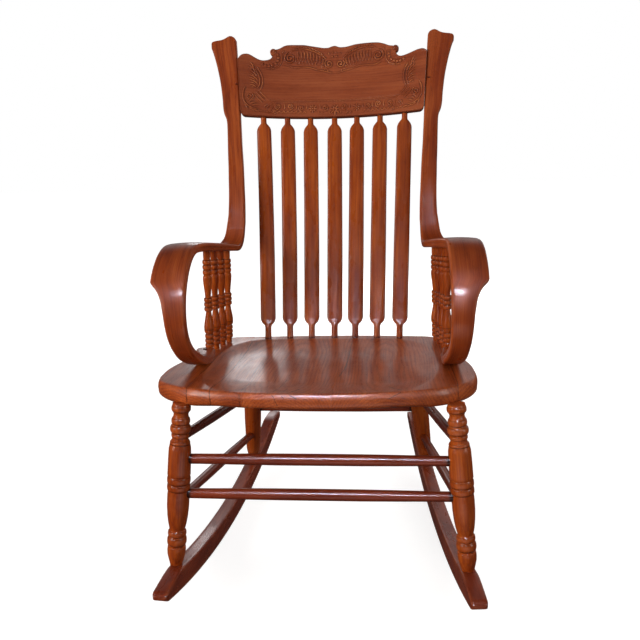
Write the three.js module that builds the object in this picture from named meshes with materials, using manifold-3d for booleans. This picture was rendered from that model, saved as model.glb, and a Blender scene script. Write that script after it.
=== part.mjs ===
// A turned and bentwood rocking armchair in stained hardwood, in millimetres.
// +X is the sitter's left as seen from the front's right, +Y is the back, +Z is up.
// The chair is drawn about its seat, and stands at the end on the middle of its outer box.

import * as THREE from "three";
import { mergeVertices } from "three/addons/utils/BufferGeometryUtils.js";
import Module from "manifold-3d";

const wasm = await Module();
wasm.setup();

// Driving dimensions: joints and tools
const gap = 0.3;
const crestEndGap = 0.8;
const overrun = 4;
const edgeChamfer = 1.6;

// Driving dimensions: seat
const seatHeight = 381;
const seatTilt = 2.8;
const seatThickness = 31;
const seatHalfWidth = 283;
const seatRearNarrowing = 40;
const seatRearHalfWidth = seatHalfWidth - seatRearNarrowing;
const seatFront = 241;
const seatRear = 240;
const seatFrontBow = 28;
const seatShift = -7;
const seatRearBow = 10;
const seatFrontCorner = 92;
const seatRearCorner = 46;
const seatUnderBevel = 8;
const seatUnderInset = 26;
const seatFrontEase = 2.5;
const dishDepth = 9;
const dishShoulder = 58;
const dishSideMargin = 67;
const dishRearMargin = 40;
const dishFrontMargin = 35;
const dishHalfWidth = seatHalfWidth - dishSideMargin;
const dishRear = seatRear - dishRearMargin;
const dishFront = seatFront - dishFrontMargin;
const dishCorner = 84;
const boardJointShares = [-0.781, -0.6325, -0.431, 0.092, 0.827];
const boardJoints = boardJointShares.map((share) => share * seatHalfWidth);

// Driving dimensions: bent arm and back post, one strip on each side
const stripThickness = 16;
const tailLength = 56;
const curlCentre = -56;
const curlRadius = 105;
const curlFootReach = 150;
const armRise = 6.5;
const armRearInset = 64;
const armRear = seatRear - armRearInset;
const elbowRadius = 55;
const postFootRake = 19;
const postTopRake = 11.5;
const postRake = 16.33;
const earSlope = 13;

// Driving dimensions: the strip's two edges, measured in from the seat's side
const tailInner = 58;
const tailOuter = 21;
const rollInner = 66;
const rollOuter = 36;
const curlInner = 58;
const curlOuter = 21;
const wingOuter = -6;
const armFrontInner = 60;
const armFrontOuter = 1;
const armRearInner = 90;
const armRearOuter = 36;
const postFootInner = 92;
const postFootOuter = 55;
const postMidInner = 84;
const postStepOuter = 48;
const earInner = 76;
const earPeakInner = 65;
const earOuter = 19;

// Driving dimensions: crest rail
const crestAboveSeat = 477;
const crestRise = 153;
const earAboveCrest = 8;
const crestFoot = seatHeight + crestAboveSeat;
const postTopZ = crestFoot + crestRise + earAboveCrest;
const crestThickness = 19;
const crestBow = 35;
const crestArch = 7.5;
const crestTenonLength = 12;
const crestTenonThickness = 7;
const crestTenonInset = 24;
const crestPinRadius = 2;

// Driving dimensions: flat back spindles
const backSpindleCount = 7;
const backSpindleInset = 35;
const backSpindleFootY = seatRear - backSpindleInset;
const backSpindleFootBow = 9;
const backSpindleFootShare = 0.1975;
const backSpindleTopShare = 0.2152;
const backSpindleFootSpacing = backSpindleFootShare * seatRearHalfWidth;
const backSpindleTopSpacing = backSpindleTopShare * seatRearHalfWidth;
const backSpindleNeck = 6;
const backSpindleWidth = 30;
const backSpindleThickness = 9;
const backSpindleFootNeck = 33;
const backSpindleTopNeck = 13;
const backSpindleLowerShoulder = 15;
const backSpindleUpperShoulder = 17;
const backSpindleTopShift = 4;
const backSpindleBend = 11;
const backSpindleSeatTenon = 17;
const backSpindleCrestTenon = 15;

// Driving dimensions: turned arm spindles
const armSpindleCount = 4;
const armSpindleFirstY = 74;
const armSpindleSpacingY = 35;
const armSpindleInset = 36;
const armSpindleFirstX = seatHalfWidth - armSpindleInset;
const armSpindleSpacingX = 4.6;
const armSpindleTopShift = 12;
const armSpindleRadius = 10;
const armSpindleSeatTenon = 15;

// Driving dimensions: runners
const runnerRadius = 1400;
const runnerDepth = 37;
const runnerWidth = 26;
const runnerFrontReach = 68;
const runnerRearReach = 282;
const runnerInset = 49;
const runnerFront = seatFront + runnerFrontReach;
const runnerRear = seatRear + runnerRearReach;
const runnerHalfSpacing = seatHalfWidth - runnerInset;
const runnerToeIn = 5.3;
const runnerNoseTop = 40;
const runnerNoseFoot = 8;
const runnerFacet = 34;
const balanceY = 73;

// Driving dimensions: legs
const frontLegSideInset = 54;
const frontLegFrontInset = 45;
const frontLegSplay = 18;
const frontLegX = seatHalfWidth - frontLegSideInset;
const frontLegY = seatFront - frontLegFrontInset;
const frontLegFootY = frontLegY + frontLegSplay;
const frontLegRadius = 20;
const rearLegSideInset = 109;
const rearLegRearInset = 80;
const rearLegSplay = 130;
const rearLegX = seatHalfWidth - rearLegSideInset;
const rearLegY = seatRear - rearLegRearInset;
const rearLegFootY = rearLegY + rearLegSplay;
const rearLegRadius = 18.5;
const legSeatTenonRadius = 13;
const legSeatTenon = 20;
const legFootTenonRadius = 8;
const legFootTenon = 22;
const legPinRadius = 2.5;
const legPinDrop = 12;

// Driving dimensions: stretchers
const frontStretcherRadius = 10.2;
const sideStretcherRadius = 9.4;
const rearStretcherRadius = 8.6;
const stretcherEndShrink = 1.3;
const stretcherTenon = 13;
const frontStretcherShares = [0.688, 0.522];
const sideStretcherFrontShares = [0.782, 0.488];
const sideStretcherRearShares = [0.646, 0.333];
const rearStretcherShare = 0.533;

// Driving dimensions: screws that hold the arm tails to the seat
const screwShankRadius = 2.2;
const screwHeadRadius = 4.6;
const screwHeadDepth = 3;
const screwLength = 34;
const screwEndDistance = 19;
const screwSlotWidth = 1.2;

// Counts of sides and steps
const turnedSides = 14;
const slimSides = 10;
const armSpindleSides = 8;
const seatSides = 64;
const rollSteps = 9;
const curlSteps = 11;
const elbowSteps = 7;
const postSteps = 14;
const noseSteps = 4;

const wood = {
  seat: new THREE.MeshStandardMaterial({ color: 0x7a3a22, roughness: 0.32, metalness: 0 }),
  bent: new THREE.MeshStandardMaterial({ color: 0x7f4126, roughness: 0.34, metalness: 0 }),
  carved: new THREE.MeshStandardMaterial({ color: 0x7f4630, roughness: 0.42, metalness: 0 }),
  turned: new THREE.MeshStandardMaterial({ color: 0x863c17, roughness: 0.34, metalness: 0 }),
  dark: new THREE.MeshStandardMaterial({ color: 0x5a1d10, roughness: 0.36, metalness: 0 }),
};
const darkSteel = new THREE.MeshStandardMaterial({ color: 0x3a332e, roughness: 0.5, metalness: 0.9 });

const radians = THREE.MathUtils.degToRad;
const lerp = THREE.MathUtils.lerp;
const sides = [["left", -1], ["right", 1]];

// Closed bodies and their joins and cuts

function indexedCopy(geometry) {
  const bare = geometry.clone();
  bare.deleteAttribute("normal");
  bare.deleteAttribute("uv");
  return mergeVertices(bare);
}

function solid(geometry) {
  const merged = indexedCopy(geometry);
  const triVerts = [];
  const index = merged.index.array;
  for (let i = 0; i < index.length; i += 3) {
    const [a, b, c] = [index[i], index[i + 1], index[i + 2]];
    if (a !== b && b !== c && c !== a) triVerts.push(a, b, c);
  }
  const mesh = new wasm.Mesh({
    numProp: 3,
    vertProperties: new Float32Array(merged.attributes.position.array),
    triVerts: new Uint32Array(triVerts),
  });
  return new wasm.Manifold(mesh);
}

function geometryOf(body) {
  const mesh = body.getMesh();
  const geometry = new THREE.BufferGeometry();
  geometry.setAttribute("position", new THREE.BufferAttribute(mesh.vertProperties, 3));
  geometry.setIndex(new THREE.BufferAttribute(mesh.triVerts, 1));
  const flat = geometry.toNonIndexed();
  flat.computeVertexNormals();
  return flat;
}

function cut(body, tools) {
  return tools.reduce((rest, tool) => rest.subtract(tool), body);
}

function join(bodies) {
  return bodies.reduce((whole, body) => whole.add(body));
}

// A closed skin over rows of points, each row one closed section with the same number of points.
function loft(rows) {
  const count = rows[0].length;
  const positions = [];
  const index = [];
  for (const row of rows) for (const p of row) positions.push(p.x, p.y, p.z);
  for (let r = 0; r < rows.length - 1; r++) {
    for (let i = 0; i < count; i++) {
      const next = (i + 1) % count;
      const [a, b] = [r * count + i, r * count + next];
      index.push(a, b, b + count, a, b + count, a + count);
    }
  }
  const last = (rows.length - 1) * count;
  for (let i = 1; i < count - 1; i++) {
    index.push(0, i + 1, i);
    index.push(last, last + i, last + i + 1);
  }
  const geometry = new THREE.BufferGeometry();
  geometry.setAttribute("position", new THREE.Float32BufferAttribute(positions, 3));
  geometry.setIndex(signedVolume(positions, index) < 0 ? index.reverse() : index);
  return geometry;
}

function signedVolume(positions, index) {
  const [a, b, c] = [new THREE.Vector3(), new THREE.Vector3(), new THREE.Vector3()];
  let total = 0;
  for (let i = 0; i < index.length; i += 3) {
    a.fromArray(positions, index[i] * 3);
    b.fromArray(positions, index[i + 1] * 3);
    c.fromArray(positions, index[i + 2] * 3);
    total += a.dot(b.clone().cross(c));
  }
  return total;
}

// A rectangle with its four corners cut off, as eight points across two axes.
function cornered(centre, across, through, halfWidth, halfThickness, corner) {
  const [a, b, c] = [halfWidth, halfThickness, corner];
  const places = [
    [a, b - c], [a - c, b], [c - a, b], [-a, b - c],
    [-a, c - b], [c - a, -b], [a - c, -b], [a, c - b],
  ];
  return places.map(([u, v]) => centre.clone().addScaledVector(across, u).addScaledVector(through, v));
}

// A turned body from one point to another: rows of [distance along, radius].
function turned(from, to, profile, sidesAround) {
  const points = profile.map(([along, radius]) => new THREE.Vector2(radius, along));
  points.unshift(new THREE.Vector2(0, points[0].y));
  points.push(new THREE.Vector2(0, points[points.length - 1].y));
  const geometry = new THREE.LatheGeometry(points, sidesAround);
  const direction = to.clone().sub(from).normalize();
  const turn = new THREE.Quaternion().setFromUnitVectors(new THREE.Vector3(0, 1, 0), direction);
  geometry.applyQuaternion(turn);
  geometry.translate(from.x, from.y, from.z);
  return geometry;
}

function rod(from, to, radius, sidesAround = slimSides, before = 0, after = 0) {
  const length = from.distanceTo(to);
  return turned(from, to, [[-before, radius], [length + after, radius]], sidesAround);
}

function alongLine(from, to, distance) {
  return from.clone().addScaledVector(to.clone().sub(from).normalize(), distance);
}

function atHeight(from, to, z) {
  return from.clone().lerp(to, (z - from.z) / (to.z - from.z));
}

// The seat's own frame: its upper face is z = 0 there, and it tips back about the mid line.

const seatFrame = new THREE.Group();
seatFrame.position.set(0, 0, seatHeight);
seatFrame.rotation.x = -radians(seatTilt);
seatFrame.updateMatrixWorld(true);

function onSeat(x, y, z = 0) {
  return new THREE.Vector3(x, y, z).applyMatrix4(seatFrame.matrixWorld);
}

function intoSeatFrame(body) {
  return body.transform([...seatFrame.matrixWorld.clone().invert().elements]);
}

// Runners: a plank sawn to an arc, whose lowest facet lies under the chair's centre of mass.

const runnerStep = 2 * Math.asin(runnerFacet / 2 / runnerRadius);
const runnerCentreZ = runnerRadius * Math.cos(runnerStep / 2);
const runnerBalance = balanceY / Math.cos(radians(runnerToeIn));

function runnerArc(radius, along) {
  return runnerCentreZ - Math.sqrt(radius ** 2 - (along - runnerBalance) ** 2);
}

function runnerPoint(side, y, radius) {
  const along = y / Math.cos(radians(runnerToeIn));
  const x = runnerHalfSpacing - y * Math.tan(radians(runnerToeIn));
  return new THREE.Vector3(side * x, y, runnerArc(radius, along));
}

// The arc's vertices between two places along it, half a facet either side of the lowest point.
function runnerVertices(radius, from, to) {
  const points = [];
  const first = Math.ceil((from - runnerBalance) / runnerFacet - 0.5) + 0.5;
  for (let step = first; runnerBalance + step * runnerFacet <= to; step++) {
    const angle = step * runnerStep;
    const along = runnerBalance + radius * Math.sin(angle);
    points.push(new THREE.Vector2(along, runnerCentreZ - radius * Math.cos(angle)));
  }
  return points;
}

function runnerNose(end, way, outer, inner) {
  const at = (radius, along) => new THREE.Vector2(along, runnerArc(radius, along));
  const foot = at(outer, end - way * runnerNoseFoot);
  const face = at(outer, end).add(new THREE.Vector2(0, runnerNoseFoot));
  const corner = at(inner, end);
  const head = at(inner, end - way * runnerNoseTop);
  return [foot, ...new THREE.QuadraticBezierCurve(face, corner, head).getPoints(noseSteps)];
}

function runnerOutline(grow) {
  const outer = runnerRadius + grow;
  const inner = runnerRadius - runnerDepth - grow;
  const [start, end] = [-runnerFront - grow, runnerRear + grow];
  const spare = runnerFacet / 3;
  return [
    ...runnerVertices(outer, start + runnerNoseFoot + spare, end - runnerNoseFoot - spare),
    ...runnerNose(end, 1, outer, inner),
    ...runnerVertices(inner, start + runnerNoseTop + spare, end - runnerNoseTop - spare).reverse(),
    ...runnerNose(start, -1, outer, inner).reverse(),
  ];
}

function runnerGeometry(side, grow = 0) {
  const shape = new THREE.Shape(runnerOutline(grow));
  const width = runnerWidth + 2 * grow;
  const geometry = new THREE.ExtrudeGeometry(shape, { depth: width, bevelEnabled: false });
  geometry.translate(0, 0, -width / 2);
  const basis = new THREE.Matrix4().makeBasis(
    new THREE.Vector3(0, 1, 0),
    new THREE.Vector3(0, 0, 1),
    new THREE.Vector3(1, 0, 0),
  );
  geometry.applyMatrix4(basis);
  geometry.rotateZ(side * radians(runnerToeIn));
  geometry.translate(side * runnerHalfSpacing, 0, 0);
  return geometry;
}

// Legs: turned, from a socket in the seat's underside to a socket in the runner.

function legAxis(kind, side) {
  const front = kind === "front";
  const x = front ? frontLegX : rearLegX;
  const y = front ? -frontLegY : rearLegY;
  const footY = front ? -frontLegFootY : rearLegFootY;
  return {
    top: onSeat(side * x, y, -seatThickness),
    foot: runnerPoint(side, footY, runnerRadius - runnerDepth),
  };
}

// Shares of the leg's visible length from the seat, and of its greatest radius.
const frontLegProfileShares = [
  [0, 0.82], [0.03, 0.84], [0.054, 0.65], [0.075, 0.82], [0.1, 0.77], [0.13, 0.905],
  [0.157, 0.76], [0.174, 0.82], [0.192, 0.75], [0.205, 0.8], [0.24, 0.97], [0.42, 1],
  [0.43, 0.95], [0.45, 1.02], [0.473, 0.95], [0.495, 1.01], [0.515, 0.955], [0.6, 0.97],
  [0.66, 0.914], [0.72, 0.806], [0.76, 0.69], [0.79, 0.8], [0.808, 0.75], [0.84, 0.85],
  [0.87, 0.8], [0.93, 0.79], [1, 0.52],
];
const rearLegProfileShares = [
  [0, 0.9], [0.12, 0.98], [0.35, 1], [0.6, 0.97], [0.8, 0.9], [0.9, 0.82], [1, 0.6],
];

function legBody(kind, side) {
  const { top, foot } = legAxis(kind, side);
  const shares = kind === "front" ? frontLegProfileShares : rearLegProfileShares;
  const radius = kind === "front" ? frontLegRadius : rearLegRadius;
  const length = top.distanceTo(foot);
  const profile = shares.map(([along, wide]) => [along * length, wide * radius]);
  const [firstRadius, lastRadius] = [profile[0][1], profile[profile.length - 1][1]];
  const padded = [[-overrun, firstRadius], ...profile.slice(1), [length + overrun, lastRadius]];
  const body = solid(turned(top, foot, padded, turnedSides));
  const trimmed = cut(body, [seatSlab(gap), solid(runnerGeometry(side, gap))]);
  const tenons = [
    solid(rod(alongLine(top, foot, -legSeatTenon), top, legSeatTenonRadius, turnedSides, 0, overrun)),
    solid(rod(foot, alongLine(foot, top, -legFootTenon), legFootTenonRadius, slimSides, overrun)),
  ];
  return join([trimmed, ...tenons]);
}

function legSockets(kind, side, place) {
  const { top, foot } = legAxis(kind, side);
  if (place === "seat") {
    const end = alongLine(top, foot, -legSeatTenon - gap);
    return solid(rod(end, top, legSeatTenonRadius + gap, turnedSides, 0, overrun));
  }
  const end = alongLine(foot, top, -legFootTenon - gap);
  return solid(rod(foot, end, legFootTenonRadius + gap, slimSides, overrun));
}

function legPin(kind, side, grow = 0) {
  const { top, foot } = legAxis(kind, side);
  const centre = alongLine(foot, top, -legPinDrop);
  const reach = runnerWidth / 2;
  const across = new THREE.Vector3(1, 0, 0).applyAxisAngle(
    new THREE.Vector3(0, 0, 1), side * radians(runnerToeIn));
  const from = centre.clone().addScaledVector(across, -reach);
  const to = centre.clone().addScaledVector(across, reach);
  const past = grow > 0 ? overrun : 0;
  return rod(from, to, legPinRadius + grow, slimSides, past, past);
}

// Seat: a board blank with a dished top that rolls over the front edge.

function seatOutline() {
  const front = -seatFront;
  const shape = new THREE.Shape();
  const side = seatHalfWidth;
  const rearSide = seatRearHalfWidth;
  const cornerY = front + seatFrontBow + seatFrontCorner;
  const cornerX = side - seatFrontCorner;
  shape.moveTo(0, front);
  shape.quadraticCurveTo(cornerX * 0.62, front, cornerX, front + seatFrontBow);
  shape.bezierCurveTo(
    cornerX + seatFrontCorner * 0.55, front + seatFrontBow + seatFrontCorner * 0.16,
    side, cornerY - seatFrontCorner * 0.42,
    side, cornerY,
  );
  shape.bezierCurveTo(
    side, cornerY + seatFrontCorner * 0.6,
    rearSide + seatRearCorner * 0.35, seatRear - seatRearBow - seatRearCorner * 2.2,
    rearSide, seatRear - seatRearBow - seatRearCorner,
  );
  shape.bezierCurveTo(
    rearSide - seatRearCorner * 0.12, seatRear - seatRearBow - seatRearCorner * 0.3,
    rearSide - seatRearCorner * 0.5, seatRear - seatRearBow,
    rearSide - seatRearCorner, seatRear - seatRearBow,
  );
  shape.quadraticCurveTo(rearSide * 0.4, seatRear, 0, seatRear);
  return shape;
}

// Points of the outline at even steps, right half from the front to the back, then mirrored.
function seatRim() {
  const half = seatOutline().getSpacedPoints(seatSides / 2);
  const mirrored = half.slice(1, -1).reverse().map((p) => new THREE.Vector2(-p.x, p.y));
  return [...half, ...mirrored];
}

// How far a place lies inside the dish's rim, with rounded corners.
function dishInset(x, y) {
  const sideways = dishHalfWidth - Math.abs(x);
  const bow = seatFrontBow * (x / dishHalfWidth) ** 2;
  const lengthways = Math.min(dishRear - y, y + dishFront - bow);
  if (sideways < dishCorner && lengthways < dishCorner) {
    return dishCorner - Math.hypot(dishCorner - sideways, dishCorner - lengthways);
  }
  return Math.min(sideways, lengthways);
}

function seatSurface(x, y) {
  const inset = THREE.MathUtils.clamp(dishInset(x, y) / dishShoulder, 0, 1);
  return -dishDepth * (1 - (1 - inset) ** 2);
}

// Where the ray from the middle of the seat to a rim point crosses the dish's rim, as a share.
function rimShare(point) {
  let [low, high] = [0, 1];
  for (let i = 0; i < 30; i++) {
    const middle = (low + high) / 2;
    if (dishInset(point.x * middle, point.y * middle) > 0) low = middle;
    else high = middle;
  }
  return low;
}

const dishRingShares = [0.45, 0.72, 0.84, 0.93, 1];

function seatBlank() {
  const rim = seatRim();
  const positions = [0, 0, seatSurface(0, 0)];
  const index = [];
  const rings = [];
  const addRing = (place) => {
    rings.push(positions.length / 3);
    rim.forEach((p, i) => positions.push(...place(p, i)));
  };
  const shares = rim.map(rimShare);
  for (const ring of dishRingShares) {
    addRing((p, i) => {
      const share = ring * shares[i];
      return [p.x * share, p.y * share, seatSurface(p.x * share, p.y * share)];
    });
  }
  const eased = 1 - 2 * seatFrontEase / seatHalfWidth;
  const inward = 1 - seatUnderInset / seatHalfWidth;
  addRing((p) => [p.x * eased, p.y * eased, 0]);
  addRing((p) => [p.x, p.y, -seatFrontEase]);
  addRing((p) => [p.x, p.y, seatUnderBevel - seatThickness]);
  addRing((p) => [p.x * inward, p.y * inward, -seatThickness]);
  const count = rim.length;
  for (let i = 0; i < count; i++) {
    const next = (i + 1) % count;
    index.push(0, rings[0] + i, rings[0] + next);
    for (let r = 0; r < rings.length - 1; r++) {
      const [a, b] = [rings[r], rings[r + 1]];
      index.push(a + i, b + i, b + next, a + i, b + next, a + next);
    }
  }
  const bottom = positions.length / 3;
  positions.push(0, 0, -seatThickness);
  const lastRing = rings[rings.length - 1];
  for (let i = 0; i < count; i++) index.push(bottom, lastRing + ((i + 1) % count), lastRing + i);
  const geometry = new THREE.BufferGeometry();
  geometry.setAttribute("position", new THREE.Float32BufferAttribute(positions, 3));
  geometry.setIndex(index);
  geometry.translate(seatShift, 0, 0);
  return geometry;
}

// The space of the seat's plank in the chair's frame, grown all round, for trimming legs.
function seatSlab(grow) {
  const depth = seatThickness + 2 * grow;
  const slab = new THREE.BoxGeometry(2 * seatHalfWidth, seatFront + seatRear, depth);
  slab.translate(0, 0, -seatThickness / 2);
  slab.applyMatrix4(seatFrame.matrixWorld);
  return solid(slab);
}

function seatBoardSpan(number) {
  const reach = seatHalfWidth + Math.abs(seatShift) + overrun;
  const low = number === 0 ? -reach : boardJoints[number - 1] + gap / 2;
  const high = number === boardJoints.length ? reach : boardJoints[number] - gap / 2;
  return [low, high];
}

function seatBoardSpace(number) {
  const [low, high] = seatBoardSpan(number);
  const size = seatFront + seatRear + 2 * overrun;
  const box = new THREE.BoxGeometry(high - low, size, 2 * seatThickness + 2 * overrun);
  box.translate((low + high) / 2, 0, 0);
  return solid(box);
}

// The bent strip: its path in the side view, as [y, z] points, from the tail's end to the ear.

const seatNormal = new THREE.Vector2(Math.sin(radians(seatTilt)), Math.cos(radians(seatTilt)));
const seatAlong = new THREE.Vector2(seatNormal.y, -seatNormal.x);

function stripStretches() {
  const seatUnderCurl = onSeat(0, curlCentre);
  const lift = curlRadius + stripThickness / 2 + gap;
  const centre = new THREE.Vector2(seatUnderCurl.y, seatUnderCurl.z).addScaledVector(seatNormal, lift);
  const rollCentre = centre.clone().addScaledVector(seatAlong, curlFootReach - curlRadius);
  const low = rollCentre.clone().addScaledVector(seatNormal, -curlRadius);
  const tailEnd = low.clone().addScaledVector(seatAlong, tailLength);
  const rise = radians(armRise);
  const armStart = new THREE.Vector2(Math.sin(rise), Math.cos(rise)).multiplyScalar(curlRadius).add(centre);
  const armEnd = new THREE.Vector2(armRear, armStart.y - (armRear - armStart.x) * Math.tan(rise));
  const elbow = new THREE.Vector2(Math.sin(rise), Math.cos(rise)).multiplyScalar(elbowRadius).add(armEnd);
  const footRake = radians(postFootRake);
  const topRake = radians(postTopRake);
  const postFoot = new THREE.Vector2(Math.cos(footRake), -Math.sin(footRake))
    .multiplyScalar(elbowRadius).add(elbow);
  const postHeight = postTopZ - postFoot.y;
  const postTop = new THREE.Vector2(postHeight * Math.tan(radians(postRake)), postHeight).add(postFoot);
  const span = postTop.clone().sub(postFoot);
  const turn = Math.sin(footRake - topRake);
  const reach = (span.x * Math.cos(topRake) - span.y * Math.sin(topRake)) / turn;
  const control = new THREE.Vector2(Math.sin(footRake), Math.cos(footRake)).multiplyScalar(reach).add(postFoot);
  return {
    tail: new THREE.LineCurve(tailEnd, low),
    roll: new THREE.EllipseCurve(rollCentre.x, rollCentre.y, curlFootReach, curlRadius,
      Math.PI * 1.5, Math.PI, true, -radians(seatTilt)),
    curl: new THREE.EllipseCurve(centre.x, centre.y, curlRadius, curlRadius,
      Math.PI - radians(seatTilt), Math.PI / 2 - rise, true),
    arm: new THREE.LineCurve(armStart, armEnd),
    elbow: new THREE.EllipseCurve(elbow.x, elbow.y, elbowRadius, elbowRadius,
      Math.PI * 1.5 - rise, Math.PI * 2 - footRake, false),
    post: new THREE.QuadraticBezierCurve(postFoot, control, postTop),
  };
}

const stretches = stripStretches();

// The strip's inner and outer edge along each stretch, as distances in from the seat's side.
const stripEdges = {
  tail: [[0, lerp(tailInner, tailOuter, 0.3), lerp(tailInner, tailOuter, 0.7)],
    [0.06, lerp(tailInner, tailOuter, 0.1), lerp(tailInner, tailOuter, 0.9)],
    [0.16, tailInner, tailOuter], [0.6, lerp(tailInner, rollInner, 0.2), lerp(tailOuter, rollOuter, 0.25)],
    [1, lerp(tailInner, rollInner, 0.8), lerp(tailOuter, rollOuter, 0.9)]],
  roll: [[0, lerp(tailInner, rollInner, 0.8), lerp(tailOuter, rollOuter, 0.9)],
    [0.33, rollInner, rollOuter], [0.5, lerp(rollInner, curlInner, 0.5), lerp(rollOuter, curlOuter, 0.5)],
    [0.7, curlInner, lerp(rollOuter, curlOuter, 0.75)], [1, curlInner, curlOuter]],
  curl: [[0, curlInner, curlOuter], [0.08, curlInner, curlOuter],
    [0.2, curlInner, lerp(curlOuter, wingOuter, 0.2)], [0.26, curlInner, lerp(curlOuter, wingOuter, 0.6)],
    [0.32, curlInner, wingOuter], [0.65, curlInner, wingOuter], [1, armFrontInner, armFrontOuter]],
  arm: [[0, armFrontInner, armFrontOuter],
    [0.43, lerp(armFrontInner, armRearInner, 0.5), lerp(armFrontOuter, armRearOuter, 0.44)],
    [1, armRearInner, armRearOuter]],
  elbow: [[0, armRearInner, armRearOuter], [0.4, lerp(armRearInner, postFootInner, 0.8),
    lerp(armRearOuter, postFootOuter, 0.45)], [0.75, postFootInner, lerp(armRearOuter, postFootOuter, 0.9)],
    [1, postFootInner, postFootOuter]],
  post: [[0, postFootInner, postFootOuter], [0.25, lerp(postFootInner, postMidInner, 0.45), postFootOuter],
    [0.52, postMidInner, postFootOuter], [0.55, postMidInner, lerp(postFootOuter, postStepOuter, 0.3)],
    [0.59, lerp(postMidInner, earInner, 0.15), postStepOuter],
    [0.68, lerp(postMidInner, earInner, 0.4), lerp(postStepOuter, earOuter, 0.13)],
    [0.8, lerp(postMidInner, earInner, 0.75), lerp(postStepOuter, earOuter, 0.37)],
    [0.89, lerp(postMidInner, earInner, 0.95), lerp(postStepOuter, earOuter, 0.63)],
    [0.95, earInner, lerp(postStepOuter, earOuter, 0.86)], [1, earPeakInner, earOuter]],
};

function stripEdgesAt(stretch, share) {
  const rows = stripEdges[stretch];
  let next = rows.findIndex((row) => row[0] >= share);
  if (next < 1) next = 1;
  const [before, after] = [rows[next - 1], rows[next]];
  const part = (share - before[0]) / (after[0] - before[0]);
  return [
    seatHalfWidth - lerp(before[1], after[1], part),
    seatHalfWidth - lerp(before[2], after[2], part),
  ];
}

// A place on the strip's middle surface, with its front-facing normal in the side view.
function stripPlace(stretch, share) {
  const point = stretches[stretch].getPoint(share);
  const tangent = stretches[stretch].getTangent(share);
  return { point, tangent, normal: new THREE.Vector2(tangent.y, -tangent.x) };
}

function stripSection(side, stretch, share, grow, shear = 0) {
  const { point, tangent, normal } = stripPlace(stretch, share);
  const [inner, outer] = stripEdgesAt(stretch, share);
  const centre = new THREE.Vector3(side * (inner + outer) / 2, point.x, point.y);
  const slant = -shear / (outer - inner);
  const across = new THREE.Vector3(side, tangent.x * slant, tangent.y * slant);
  const through = new THREE.Vector3(0, normal.x, normal.y);
  const corner = Math.min(edgeChamfer, stripThickness / 2);
  return cornered(centre, across, through,
    (outer - inner) / 2 + grow, stripThickness / 2 + grow, corner);
}

function stripStations() {
  const stations = [];
  for (const share of [0, 0.06, 0.16, 0.6]) stations.push(["tail", share]);
  for (let i = 0; i < rollSteps; i++) stations.push(["roll", i / rollSteps]);
  for (let i = 0; i < curlSteps; i++) stations.push(["curl", i / curlSteps]);
  stations.push(["curl", 0.32]);
  for (const share of [0, 0.43]) stations.push(["arm", share]);
  for (let i = 0; i < elbowSteps; i++) stations.push(["elbow", i / elbowSteps]);
  for (let i = 0; i <= postSteps; i++) stations.push(["post", i / postSteps]);
  const order = ["tail", "roll", "curl", "arm", "elbow", "post"];
  return stations.sort((a, b) => order.indexOf(a[0]) - order.indexOf(b[0]) || a[1] - b[1]);
}

function stripBody(side) {
  const rows = stripStations().map(([stretch, share]) => {
    const end = stretch === "post" ? THREE.MathUtils.smoothstep(share, 0.9, 1) : 0;
    return stripSection(side, stretch, share, 0, end * earSlope);
  });
  return solid(loft(rows));
}

// The height on the post, as a share of its stretch.
function postShareAt(z) {
  let [low, high] = [0, 1];
  for (let i = 0; i < 30; i++) {
    const middle = (low + high) / 2;
    if (stretches.post.getPoint(middle).y < z) low = middle;
    else high = middle;
  }
  return low;
}

// Crest rail: a board bowed backwards between the posts, raked as they are.

// Shares of the half length from the middle, with the top edge as shares of the rise on each side.
const crestColumnShares = [
  [0, 0.985, 0.985], [0.04, 1, 1], [0.09, 0.99, 0.99], [0.17, 1, 1], [0.28, 1.02, 1.02], [0.4, 1.03, 1.03],
  [0.5, 1.01, 1.01], [0.57, 0.98, 0.99], [0.62, 0.975, 0.98], [0.655, 0.96, 0.975], [0.672, 0.86, 0.965],
  [0.69, 0.81, 0.86], [0.73, 0.8, 0.8], [0.8, 0.825, 0.81], [0.87, 0.865, 0.84], [0.93, 0.885, 0.86],
  [0.97, 0.87, 0.865], [1, 0.83, 0.85],
];

const crestRake = (() => {
  const { tangent } = stripPlace("post", postShareAt(crestFoot + crestRise / 2));
  return Math.atan2(tangent.x, tangent.y);
})();
const crestOrigin = stripPlace("post", postShareAt(crestFoot)).point;

function crestHalfLength(height) {
  const z = crestOrigin.y + height * Math.cos(crestRake);
  return stripEdgesAt("post", postShareAt(z))[0] - crestEndGap;
}

function crestPlace(x, height) {
  const bow = crestBow * (1 - (x / crestHalfLength(0)) ** 2);
  return new THREE.Vector3(
    x,
    crestOrigin.x + height * Math.sin(crestRake) + bow * Math.cos(crestRake),
    crestOrigin.y + height * Math.cos(crestRake) - bow * Math.sin(crestRake),
  );
}

function crestBottom(share) {
  return -crestArch * (1 - share ** 2);
}

function crestSection(share, sign) {
  const top = (sign < 0 ? share[1] : share[2]) * crestRise;
  const bottom = crestBottom(share[0]);
  const through = new THREE.Vector3(0, Math.cos(crestRake), -Math.sin(crestRake));
  const [b, c] = [crestThickness / 2, edgeChamfer * 2];
  const places = [
    [top - c, -b], [top, c - b], [top, b - c], [top - c, b],
    [bottom + c, b], [bottom, b - c], [bottom, c - b], [bottom + c, -b],
  ];
  return places.map(([height, depth]) => {
    const x = sign * share[0] * crestHalfLength(height);
    return crestPlace(x, height).addScaledVector(through, depth);
  });
}

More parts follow.
